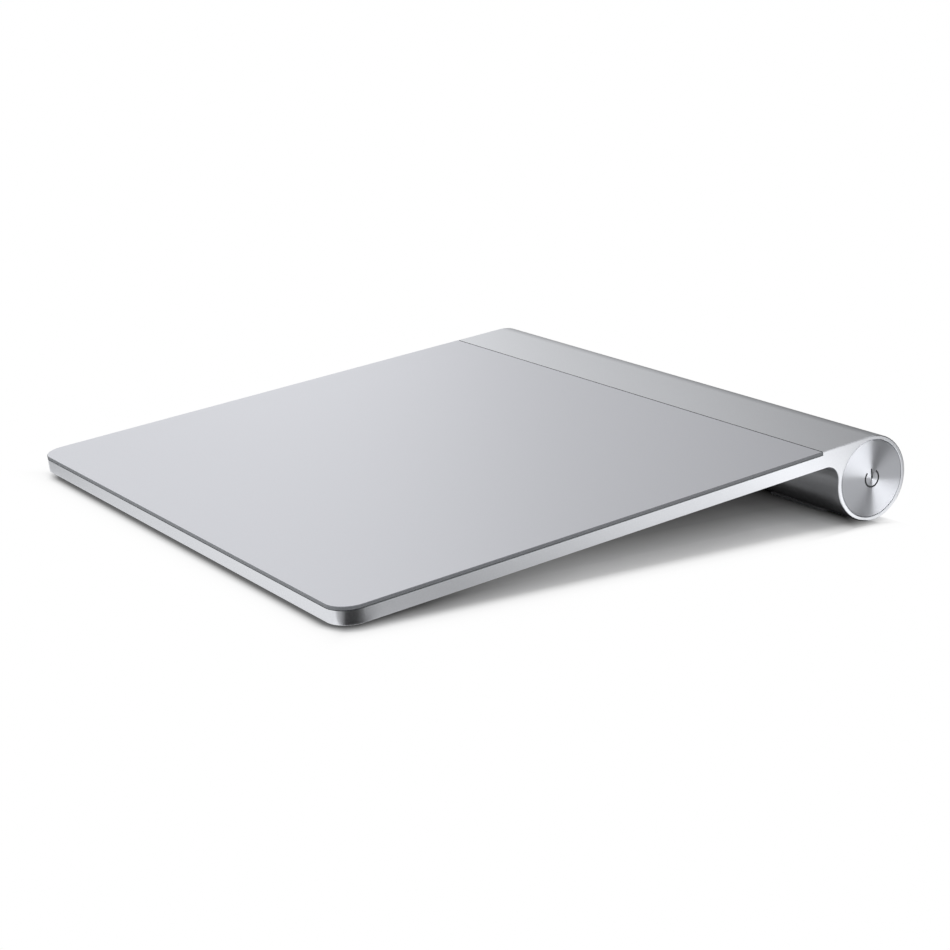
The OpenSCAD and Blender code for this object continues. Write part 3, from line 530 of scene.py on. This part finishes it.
# A bar with round ends along the middle line of points
def strokeOutline(points, width):
    half = width / 2
    endSteps = 6
    left, right = [], []
    for i, point in enumerate(points):
        ahead = points[min(i + 1, len(points) - 1)] - points[max(i - 1, 0)]
        side = Vector((-ahead.y, ahead.x)).normalized() * half
        left.append(point + side)
        right.append(point - side)

    def roundEnd(centre, start):
        spoke = start - centre
        return [centre + Matrix.Rotation(-math.pi * i / endSteps, 2) @ spoke for i in range(1, endSteps)]

    return left + roundEnd(points[-1], left[-1]) + right[::-1] + roundEnd(points[0], right[0])


# The symbol's ring, bar and stroke in mm; middle is the share of the radius where the face is divided
buttonPlan = {"steps": 160, "chamfer": 0.15, "middle": 0.5, "ring": 1.72, "ringSteps": 48, "stroke": 0.38,
              "gapDegrees": 45, "barFrom": 0.05, "barTo": 1.85, "depth": 0.16, "cutOver": 1.0}


# The button: a turned disc with the common power symbol cut into it
def makeButton():
    face = buttonHigh.x
    outer = (buttonHigh.z - buttonLow.z) / 2
    chamfer = buttonPlan["chamfer"] * mm
    work = turnedSolid([(face, 0), (face, outer * buttonPlan["middle"]), (face, outer - chamfer),
                        (face - chamfer, outer), (buttonLow.x, outer), (buttonLow.x, 0)], buttonPlan["steps"])
    mesh = asMesh("powerButtonDisc", work)
    mesh.materials.append(turnedAluminium("turnedAluminium", face))
    gap = math.radians(buttonPlan["gapDegrees"])
    radius = buttonPlan["ring"] * mm
    steps = buttonPlan["ringSteps"]
    turn = [gap + (2 * math.pi - 2 * gap) * i / steps for i in range(steps + 1)]
    ring = [Vector((math.sin(angle), math.cos(angle))) * radius for angle in turn]
    bar = [Vector((0, buttonPlan[end] * mm)) for end in ("barFrom", "barTo")]
    cutters = bmesh.new()
    for line in (ring, bar):
        endPrism(cutters, strokeOutline(line, buttonPlan["stroke"] * mm), face - buttonPlan["depth"] * mm,
                 face + buttonPlan["cutOver"] * mm, pad["upSlope"], pad["normal"])
    cutMesh = asMesh("symbolCut", cutters)
    cutMesh.materials.append(engraved)
    mesh = carved("powerButtonDisc", mesh, cutMesh)
    return addPiece("powerButtonDisc", mesh, [], "power_button", "turned_aluminium", "power_button")


powerButtonDisc = makeButton()
print("button made")

# The thread stands ridgeLift ridges out of the core and starts threadMargin ridges from each end of the plug
capPlan = {"steps": 160, "chamfer": 0.15, "head": 1.8, "core": 7.08, "ridge": 0.26, "ridgeLift": 0.15,
           "threadMargin": 2, "pitch": 1.0, "cup": 5.6, "cupFloor": 0.9, "rivetHole": 1.03, "rivetDepth": 0.4,
           "slotLength": 11.5, "slotWidth": 1.7, "slotDepth": 1.1, "cutOver": 1.0}
windingSteps = {"turn": 48, "wire": 10}


# A wire wound along an axis: the thread of the cap and the contact spring
def windingTree():
    tree = bpy.data.node_groups.new("woundWire", "GeometryNodeTree")
    sizes = ("Turns", "Start Radius", "End Radius", "Length", "Wire Radius")
    for name in sizes:
        tree.interface.new_socket(name, in_out="INPUT", socket_type="NodeSocketFloat")
    tree.interface.new_socket("Material", in_out="INPUT", socket_type="NodeSocketMaterial")
    tree.interface.new_socket("Geometry", in_out="OUTPUT", socket_type="NodeSocketGeometry")
    given = addNode(tree, "NodeGroupInput").outputs
    path = addNode(tree, "GeometryNodeCurveSpiral", {
        "Resolution": windingSteps["turn"], "Rotations": given["Turns"], "Start Radius": given["Start Radius"],
        "End Radius": given["End Radius"], "Height": given["Length"], "Reverse": False})
    section = addNode(tree, "GeometryNodeCurvePrimitiveCircle", {
        "Resolution": windingSteps["wire"], "Radius": given["Wire Radius"]})
    wire = addNode(tree, "GeometryNodeCurveToMesh", {
        "Curve": path.outputs[0], "Profile Curve": section.outputs[0], "Fill Caps": True})
    real = addNode(tree, "GeometryNodeRealizeInstances", {0: wire.outputs[0]})
    painted = addNode(tree, "GeometryNodeSetMaterial", {
        "Geometry": real.outputs[0], "Material": given["Material"]})
    addNode(tree, "NodeGroupOutput", {"Geometry": painted.outputs[0]})
    return tree


# Runs a node tree on an empty mesh with its named inputs and gives back a plain mesh
def runTree(name, tree, values):
    piece = bpy.data.objects.new(name + "Work", bpy.data.meshes.new(name))
    modifier = piece.modifiers.new("nodes", "NODES")
    modifier.node_group = tree
    for item in tree.interface.items_tree:
        if item.in_out == "INPUT" and item.name in values:
            modifier[item.identifier] = values[item.name]
    scene.collection.objects.link(piece)
    bakeModifiers(piece)
    finished = piece.data
    finished.name = name
    bpy.data.objects.remove(piece)
    for face in finished.polygons:
        face.use_smooth = True
    return finished


# The winding's axis is turned from Z to the tube's axis
def alongTube(mesh, startX):
    for vertex in mesh.vertices:
        x, y, z = vertex.co
        vertex.co = (startX + z, tubeY + x, tubeZ + y)
    return mesh


woundWire = windingTree()


# The cap: a turned head with a coin slot, a cup for the contact and a thread on its plug
def makeCap():
    outer = (capHigh.z - capLow.z) / 2
    chamfer, core, cup, hole = (capPlan[key] * mm for key in ("chamfer", "core", "cup", "rivetHole"))
    head = capLow.x + capPlan["head"] * mm
    floor = head + capPlan["cupFloor"] * mm
    seat = floor - capPlan["rivetDepth"] * mm
    work = turnedSolid([
        (capLow.x, 0), (capLow.x, outer - chamfer), (capLow.x + chamfer, outer), (head, outer), (head, core),
        (capHigh.x - chamfer, core), (capHigh.x, core - chamfer), (capHigh.x, cup), (floor, cup), (floor, hole),
        (seat, hole), (seat, 0)], capPlan["steps"])
    mesh = asMesh("batteryCapTurned", work)
    mesh.materials.append(turnedAluminium("turnedCapAluminium", capLow.x))
    slot = bmesh.new()
    reach = (capPlan["slotLength"] - capPlan["slotWidth"]) / 2 * mm
    line = [Vector((-reach, 0)), Vector((reach, 0))]
    endPrism(slot, strokeOutline(line, capPlan["slotWidth"] * mm), capLow.x - capPlan["cutOver"] * mm,
             capLow.x + capPlan["slotDepth"] * mm, Vector((0, 1, 0)), Vector((0, 0, 1)))
    slotMesh = asMesh("coinSlot", slot)
    slotMesh.materials.append(aluminium)
    mesh = carved("batteryCapTurned", mesh, slotMesh)
    addPiece("batteryCapTurned", mesh, [], "battery_cap", "anodised_aluminium", "battery_cap")
    ridge = capPlan["ridge"] * mm
    margin = capPlan["threadMargin"] * ridge
    length = capHigh.x - head - 2 * margin
    wound = core + ridge * capPlan["ridgeLift"]
    thread = runTree("capThread", woundWire, {
        "Turns": length / (capPlan["pitch"] * mm), "Start Radius": wound, "End Radius": wound, "Length": length,
        "Wire Radius": ridge, "Material": aluminium})
    addPiece("capThread", alongTube(thread, head + margin), [], "battery_cap", "anodised_aluminium")


makeCap()

coilPlan = {"turns": 3.0, "wire": 0.3, "wireShare": 0.98, "baseRadius": 4.6, "tipRadius": 2.4}


# The negative contact's spring: a cone of wire, wide on the plate and narrow on the cell
def makeCoil():
    low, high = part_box("contact_spring")
    wire = coilPlan["wire"] * mm
    coil = runTree("contactCoil", woundWire, {
        "Turns": coilPlan["turns"], "Start Radius": coilPlan["baseRadius"] * mm,
        "End Radius": coilPlan["tipRadius"] * mm, "Length": high.x - low.x - 2 * wire,
        "Wire Radius": wire * coilPlan["wireShare"], "Material": nickel})
    addPiece("contactCoil", alongTube(coil, low.x + wire), [], "cap_contact", "contact_metal", "contact_spring")


makeCoil()
print("cap and contact coil made")

feetPlan = {"frontEdge": 0.35, "rearEdge": 0.25, "footSteps": 3, "coverEdge": 0.12, "coverSteps": 2, "near": 0.03}


# The feet and the cover keep their CAD shape, with the moulded edges rounded
def makeUnderside():
    near = feetPlan["near"] * mm
    level = min(heightOf(vertex.co) for vertex in nodes["bottom_cover"].data.vertices)

    def onTable(a, b):
        return a.z < near and b.z < near

    def onFace(a, b):
        return all(abs(heightOf(end) - level) < near for end in (a, b))

    for name, node in (("frontFootLeft", "front_foot_left"), ("frontFootRight", "front_foot_right")):
        mesh = softened(name, mergedCopy(node), feetPlan["frontEdge"], feetPlan["footSteps"], onTable)
        addPiece(name, mesh, [rubber], "click_lever", "foot_rubber", node)
    mesh = softened("rearFootPair", mergedCopy("rear_feet"), feetPlan["rearEdge"], feetPlan["footSteps"], onTable)
    addPiece("rearFootPair", mesh, [rubber], "base", "foot_rubber", "rear_feet")
    mesh = softened("undersideCover", mergedCopy("bottom_cover"), feetPlan["coverEdge"], feetPlan["coverSteps"],
                    onFace)
    addPiece("undersideCover", mesh, [coverPlastic], "base", "cover_plastic", "bottom_cover")


makeUnderside()
print("feet and cover made")


# Every node that still shows takes the finish of its slot
def finishNodes():
    slots = {part["node"]: part["material_slot"] for part in frame["record"]["subparts"]}
    for name, item in nodes.items():
        finish = innerFinishes.get(slots[name])
        if finish is None:
            continue
        if not item.material_slots:
            item.data.materials.append(finish)
        for place in item.material_slots:
            place.material = finish


finishNodes()
print("inner pieces finished")

camera = {
    "place": (380.81, -241.25, 125.86),
    "right": (0.54511, 0.83832, -0.00815),
    "up": (-0.21448, 0.14885, 0.96532),
    "lens": 84.72,
    "sensor": 36,
    "clipStart": 10,
}


def makeCamera():
    data = bpy.data.cameras.new("camera")
    data.sensor_width = camera["sensor"]
    data.lens = camera["lens"]
    data.clip_start = camera["clipStart"] * mm
    right = Vector(camera["right"]).normalized()
    up = (Vector(camera["up"]) - right * right.dot(Vector(camera["up"]))).normalized()
    turn = Matrix((right, up, right.cross(up))).transposed().to_4x4()
    view = bpy.data.objects.new("camera", data)
    view.matrix_world = Matrix.Translation(Vector(camera["place"]) * mm) @ turn
    scene.collection.objects.link(view)
    scene.camera = view


makeCamera()
print("camera placed")

# The lamp and the floor are in metres
studio = {"dome": 0.4, "keyWatts": 8.5, "keySize": 1.3, "keyPlace": (-0.1, -0.35, 1.1), "floorReach": 1.6,
          "wallSteps": 48}

# The floor is grey paper with a painted shadow: the paper ramp darkens under the object, and the plain white mixed
# in for the eye is held back near the object; both ramps run outwards from lines on the floor
# A line is the axis it crosses, its place in mm and the scale of the distance past it, negative towards the front
# The contact ramp paints shade into the gap round the tube, the edge ramp paints the shadow under the plate's low
# front edge
floorTones = {
    "outline": (("X", 35.5, 1), ("Y", -35, -1), ("Y", 56, 6)), "reach": 42, "far": (65, 150), "roughness": 0.9,
    "paperPaintedShade": ((0, 0.06), (0.25, 0.2), (0.5, 0.93), (1, 0.93)),
    "white": ((0, 0.05), (0.11, 0.06), (0.48, 0.16), (0.595, 0.25), (0.643, 0.31), (0.69, 0.62), (0.726, 0.84),
              (0.786, 0.96), (0.86, 1.0)),
    "tube": (("X", 57, 0.5), ("X", 65.5, 6.7), ("Y", 56.25, -1), ("Y", 56.25, 3.5)), "contactReach": 20,
    "contact": ((0, 0.01), (0.05, 0.02), (0.16, 0.32), (0.26, 0.54), (0.375, 0.68), (0.56, 0.78), (0.71, 0.9),
                (1, 1.0)),
    "edgeReach": 2.6, "edgeInset": 8, "edgeShift": 1.35, "edgeLift": 1.2, "edgeFade": (-44, -6),
    "edge": ((0, 0.16), (0.135, 0.22), (0.21, 0.4), (0.27, 0.55), (0.356, 0.69), (0.452, 0.86), (0.55, 0.94),
             (0.73, 0.98), (1, 1.0)),
}

# Grey and white cards that only gloss sees, in millimetres
# Each has a ramp of tones along one axis, or by the angle round a centre, and may fade along a second axis
# Walls are bent round a centre; lean tilts a ramp by degrees per mm of height; only is the one piece a card lights
cards = {
    "backCard": {
        "corners": ((-800, 160, 0), (66, 160, 0), (66, 160, 550), (-800, 160, 550)), "axis": "X",
        "span": (-520, -40),
        "ramp": ((0, 1.1), (0.25, 1.05), (0.45, 0.88), (0.62, 0.65), (0.8, 0.52), (1, 0.3)),
        "fade": {"axis": "Z", "span": (0, 220),
                 "ramp": ((0, 0.1), (0.28, 0.78), (0.45, 1.18), (0.87, 0.76), (1, 0.7))}},
    "rearFloorCard": {
        "corners": ((-90, 68, 0.4), (67, 70, 0.4), (86, 91, 0.4), (110, 112, 0.4), (250, 238, 0.4),
                    (250, 420, 0.4), (-90, 420, 0.4)),
        "axis": "X", "span": (-90, 60), "ramp": ((0, 0.14), (1, 0.0))},
    "discWall": {
        "arc": (-62, 60), "radius": 150, "height": (0, 160), "centre": (65, 56), "only": powerButtonDisc,
        "axis": "angle", "lean": 0.1, "span": (-62, 60),
        "ramp": ((0, 0.0), (0.11, 0.8), (0.34, 1.9), (0.55, 2.6), (0.74, 2.7), (0.78, 2.6), (0.81, 0.0), (1, 0.0))},
    "shadeWall": {
        "arc": (39, 115), "radius": 155, "height": (0, 160), "centre": (65, 56), "axis": "Z", "span": (0, 160),
        "ramp": ((0, 0.0), (1, 0.0))},
    "cornerShade": {
        "corners": ((140, -62, 0), (135, -76, 0), (78, -93, 0), (78, -93, 45), (135, -76, 45), (140, -62, 45)),
        "axis": "Z", "span": (0, 45), "ramp": ((0, 0.3), (1, 0.4))},
    "tentWall": {
        "arc": (-180, 180), "radius": 900, "height": (0, 900), "centre": (0, 0), "axis": "Z", "span": (0, 900),
        "ramp": ((0, 0.9), (1, 0.8))},
    "tentRoof": {
        "corners": ((-900, -900, 900), (900, -900, 900), (900, 900, 900), (-900, 900, 900)), "axis": "Y",
        "span": (-700, 700), "ramp": ((0, 0.74), (1, 0.84))},
    "endFloorCard": {
        "corners": ((70, 54, 0.25), (200, 70, 0.25), (230, 215, 0.25), (70, 72, 0.25)), "centre": (65, 56),
        "axis": "angle", "span": (0, 60),
        "ramp": ((0, 1.22), (0.65, 1.22), (0.71, 0.3), (0.86, 0.3), (0.91, 1.2), (1, 1.2))},
    "cornerCard": {
        "corners": ((63, -67, 0.4), (64, -150, 0.4), (300, -200, 0.4), (300, 60, 0.4), (68, -56, 0.4)),
        "centre": (60.5, -60), "axis": "angle", "span": (-90, 45),
        "ramp": ((0, 0.1), (0.2, 0.38), (0.33, 0.0), (0.6, 0.0), (0.8, 0.1), (1, 1.0))},
    "rightFloorCard": {
        "corners": ((67, -58, 0.3), (300, -20, 0.3), (300, 64, 0.3), (67, 50, 0.3)), "axis": "Y",
        "span": (-60, 50), "ramp": ((0, 0.42), (0.25, 0.37), (0.5, 0.53), (0.75, 0.74), (1, 0.84))},
    "frontFloorCard": {
        "corners": ((62, -65.4, 0.3), (-160, -65.4, 0.3), (-160, -200, 0.3), (62, -200, 0.3)), "axis": "X",
        "span": (-90, 60), "ramp": ((0, 0.4), (0.33, 0.67), (0.67, 0.78), (1, 0.82))},
    # Painted shade: a near-black card under the tube stands in for the shadowed floor in the tube's reflections
    "underTubeCard": {
        "corners": ((-63, 46, 0.3), (67, 46, 0.3), (67, 56, 0.3), (-63, 58, 0.3)), "axis": "Y",
        "span": (46, 53), "ramp": ((0, 0.02), (1, 0.0))},
    # Painted shade: a dark card under the plate stands in for the shadowed floor in the reflections of the plate's
    # lower edges
    "underPlateCard": {
        "corners": ((-60, -58, 0.3), (60, -58, 0.3), (60, 46, 0.3), (-60, 46, 0.3)), "axis": "X",
        "span": (10, 60), "ramp": ((0, 0.28), (0.6, 0.11), (1, 0.07))},
}


# 1 for rays that reach the eye, straight or by gloss or glass, and 0 for light that falls on things
def eyeRays(tree):
    path = addNode(tree, "ShaderNodeLightPath").outputs
    seen = path["Is Camera Ray"]
    for ray in ("Is Glossy Ray", "Is Transmission Ray"):
        seen = mathNode(tree, "MAXIMUM", seen, path[ray])
    return seen


# White for the camera and for gloss, a plain soft dome for everything else
def makeWorld():
    world = bpy.data.worlds.new("studio")
    scene.world = world
    world.use_nodes = True
    tree = world.node_tree
    tree.nodes.clear()
    dome = addNode(tree, "ShaderNodeBackground", {"Color": (1, 1, 1, 1), "Strength": studio["dome"]})
    white = addNode(tree, "ShaderNodeBackground", {"Color": (1, 1, 1, 1), "Strength": 1.0})
    both = addNode(tree, "ShaderNodeMixShader", {0: eyeRays(tree), 1: dome.outputs[0], 2: white.outputs[0]})
    addNode(tree, "ShaderNodeOutputWorld", {"Surface": both.outputs[0]})


# The floor takes the shadow near the object, partly cast by the lamp and partly painted into its colour, and is
# plain white further out
def makeFloor():
    reach = studio["floorReach"]
    corners = [(-reach, -reach, 0), (reach, -reach, 0), (reach, reach, 0), (-reach, reach, 0)]
    mesh = bpy.data.meshes.new("floor")
    mesh.from_pydata(corners, [], [(0, 1, 2, 3)])
    floor = bpy.data.objects.new("floor", mesh)
    scene.collection.objects.link(floor)
    material, tree, shader, place = newMaterial("paperFloorWithPaintedShadow")
    shader.inputs["Roughness"].default_value = floorTones["roughness"]
    shader.inputs["Specular IOR Level"].default_value = 0.0
    parts = addNode(tree, "ShaderNodeSeparateXYZ", {0: place}).outputs
    sideways = mathNode(tree, "ABSOLUTE", parts["X"])

    # The largest distance past some lines, each with its own scale
    def pastLines(lines):
        furthest = 0.0
        for axis, line, scale in lines:
            value = sideways if axis == "X" else parts["Y"]
            past = mathNode(tree, "MULTIPLY_ADD", value, scale, -line * scale * mm)
            furthest = mathNode(tree, "MAXIMUM", past, furthest)
        return furthest

    # The distance from a box round the middle, with round corners
    def boxDistance(half):
        away = addNode(tree, "ShaderNodeVectorMath", {0: place}, operation="ABSOLUTE")
        away = addNode(tree, "ShaderNodeVectorMath", {0: away.outputs[0], 1: half}, operation="SUBTRACT")
        away = addNode(tree, "ShaderNodeVectorMath", {0: away.outputs[0], 1: (0, 0, 0)}, operation="MAXIMUM")
        return addNode(tree, "ShaderNodeVectorMath", {0: away.outputs[0]}, operation="LENGTH").outputs["Value"]

    # A painted shadow: under the plate's low front edge it is tight, and it widens and fades as the plate rises
    def edgeShadow():
        inset, least = floorTones["edgeInset"] * mm, floorTones["edgeLift"] * mm
        half = (cadBox[1].x - inset, cadBox[1].y - inset + floorTones["edgeShift"] * mm, 1.0)
        past = mathNode(tree, "SUBTRACT", boxDistance(half), inset)
        slope = pad["upSlope"].z / pad["upSlope"].y
        lift = mathNode(tree, "MULTIPLY_ADD", parts["Y"], slope, least - cadBox[0].y * slope)
        away = mathNode(tree, "DIVIDE", past, mathNode(tree, "MAXIMUM", lift, least))
        gone = shareNode(tree, away, -floorTones["edgeReach"], floorTones["edgeReach"])
        faded = shareNode(tree, parts["Y"], *[value * mm for value in floorTones["edgeFade"]])
        return mixNode(tree, faded, rampNode(tree, gone, floorTones["edge"]), (1, 1, 1, 1))

    # Painted shadow: the paper darkens under the object, the contact and edge ramps darken it round the tube and
    # under the front edge, and the white for the eye is held back near the object
    outer = pastLines(floorTones["outline"])
    share = shareNode(tree, outer, 0.0, floorTones["reach"] * mm)
    gap = shareNode(tree, pastLines(floorTones["tube"]), 0.0, floorTones["contactReach"] * mm)
    contact = mixNode(tree, 1.0, rampNode(tree, gap, floorTones["contact"]), edgeShadow(), "MULTIPLY")
    paperPaintedShade = mixNode(tree, 1.0, rampNode(tree, share, floorTones["paperPaintedShade"]), contact, "MULTIPLY")
    tree.links.new(paperPaintedShade, shader.inputs["Base Color"])
    white = mathNode(tree, "MULTIPLY", rampNode(tree, share, floorTones["white"]), contact)
    white = mathNode(tree, "MULTIPLY", white, eyeRays(tree))
    far = shareNode(tree, outer, *[value * mm for value in floorTones["far"]], interpolation_type="SMOOTHSTEP")
    white = mathNode(tree, "MAXIMUM", white, far)
    plain = addNode(tree, "ShaderNodeEmission", {"Color": (1, 1, 1, 1), "Strength": 1.0})
    both = addNode(tree, "ShaderNodeMixShader", {0: white, 1: shader.outputs[0], 2: plain.outputs[0]})
    output = next(node for node in tree.nodes if node.type == "OUTPUT_MATERIAL")
    tree.links.new(both.outputs[0], output.inputs["Surface"])
    mesh.materials.append(material)


# A card's tone: a ramp along X, Y or Z, or by the angle round a centre in degrees
def cardTone(tree, plan):
    place = addNode(tree, "ShaderNodeTexCoord").outputs["Object"]
    unit = mm
    if plan["axis"] == "angle":
        unit = math.radians(1)
        x, y = plan["centre"]
        place = addNode(tree, "ShaderNodeMapping", {"Vector": place, "Location": (-x * mm, -y * mm, 0)}).outputs[0]
    parts = addNode(tree, "ShaderNodeSeparateXYZ", {0: place}).outputs
    if plan["axis"] == "angle":
        along = mathNode(tree, "ARCTAN2", parts["Y"], parts["X"])
        along = mathNode(tree, "MULTIPLY_ADD", parts["Z"], -plan.get("lean", 0) * unit / mm, along)
    else:
        along = parts[plan["axis"]]
    share = shareNode(tree, along, *[value * unit for value in plan["span"]])
    return rampNode(tree, share, plan["ramp"])


# A flat card from its corners, or an upright wall bent round a centre
def cardMesh(name, plan):
    mesh = bpy.data.meshes.new(name)
    if "corners" in plan:
        mesh.from_pydata([Vector(corner) * mm for corner in plan["corners"]], [], [range(len(plan["corners"]))])
        return mesh
    (start, stop), steps = plan["arc"], studio["wallSteps"]
    points, faces = [], []
    for i in range(steps + 1):
        angle = math.radians(start + (stop - start) * i / steps)
        foot = Vector(plan["centre"]) + Vector((math.cos(angle), math.sin(angle))) * plan["radius"]
        points += [Vector((foot.x, foot.y, z)) * mm for z in plan["height"]]
    for i in range(0, 2 * steps, 2):
        faces.append((i, i + 2, i + 3, i + 1))
    mesh.from_pydata(points, [], faces)
    return mesh


# A card glows in gloss alone, casts no shadow and isn't seen by the camera
def makeCards():
    for name, plan in cards.items():
        mesh = cardMesh(name, plan)
        card = bpy.data.objects.new(name, mesh)
        scene.collection.objects.link(card)
        material = bpy.data.materials.new(name)
        material.use_nodes = True
        tree = material.node_tree
        tree.nodes.clear()
        glow = addNode(tree, "ShaderNodeEmission", {"Color": cardTone(tree, plan), "Strength": 1.0})
        if "fade" in plan:
            tree.links.new(cardTone(tree, plan["fade"]), glow.inputs["Strength"])
        surface = glow.outputs[0]
        if "only" in plan:
            lit = bpy.data.collections.new(name + "Lit")
            lit.objects.link(plan["only"])
            card.light_linking.receiver_collection = lit
            clear = addNode(tree, "ShaderNodeBsdfTransparent")
            surface = addNode(tree, "ShaderNodeAddShader", {0: surface, 1: clear.outputs[0]}).outputs[0]
        addNode(tree, "ShaderNodeOutputMaterial", {"Surface": surface})
        mesh.materials.append(material)
        for kind in ("camera", "diffuse", "transmission", "shadow", "volume_scatter"):
            setattr(card, "visible_" + kind, False)


# One large soft lamp above, which gloss doesn't see
def makeKey():
    data = bpy.data.lights.new("key", "AREA")
    data.shape = "SQUARE"
    data.size = studio["keySize"]
    data.energy = studio["keyWatts"]
    lamp = bpy.data.objects.new("key", data)
    place = Vector(studio["keyPlace"])
    lamp.location = place
    lamp.rotation_euler = (-place).to_track_quat("-Z", "Y").to_euler()
    lamp.visible_glossy = False
    scene.collection.objects.link(lamp)


makeWorld()
makeFloor()
makeCards()
makeKey()
scene.view_settings.view_transform = "Standard"
print("studio made")
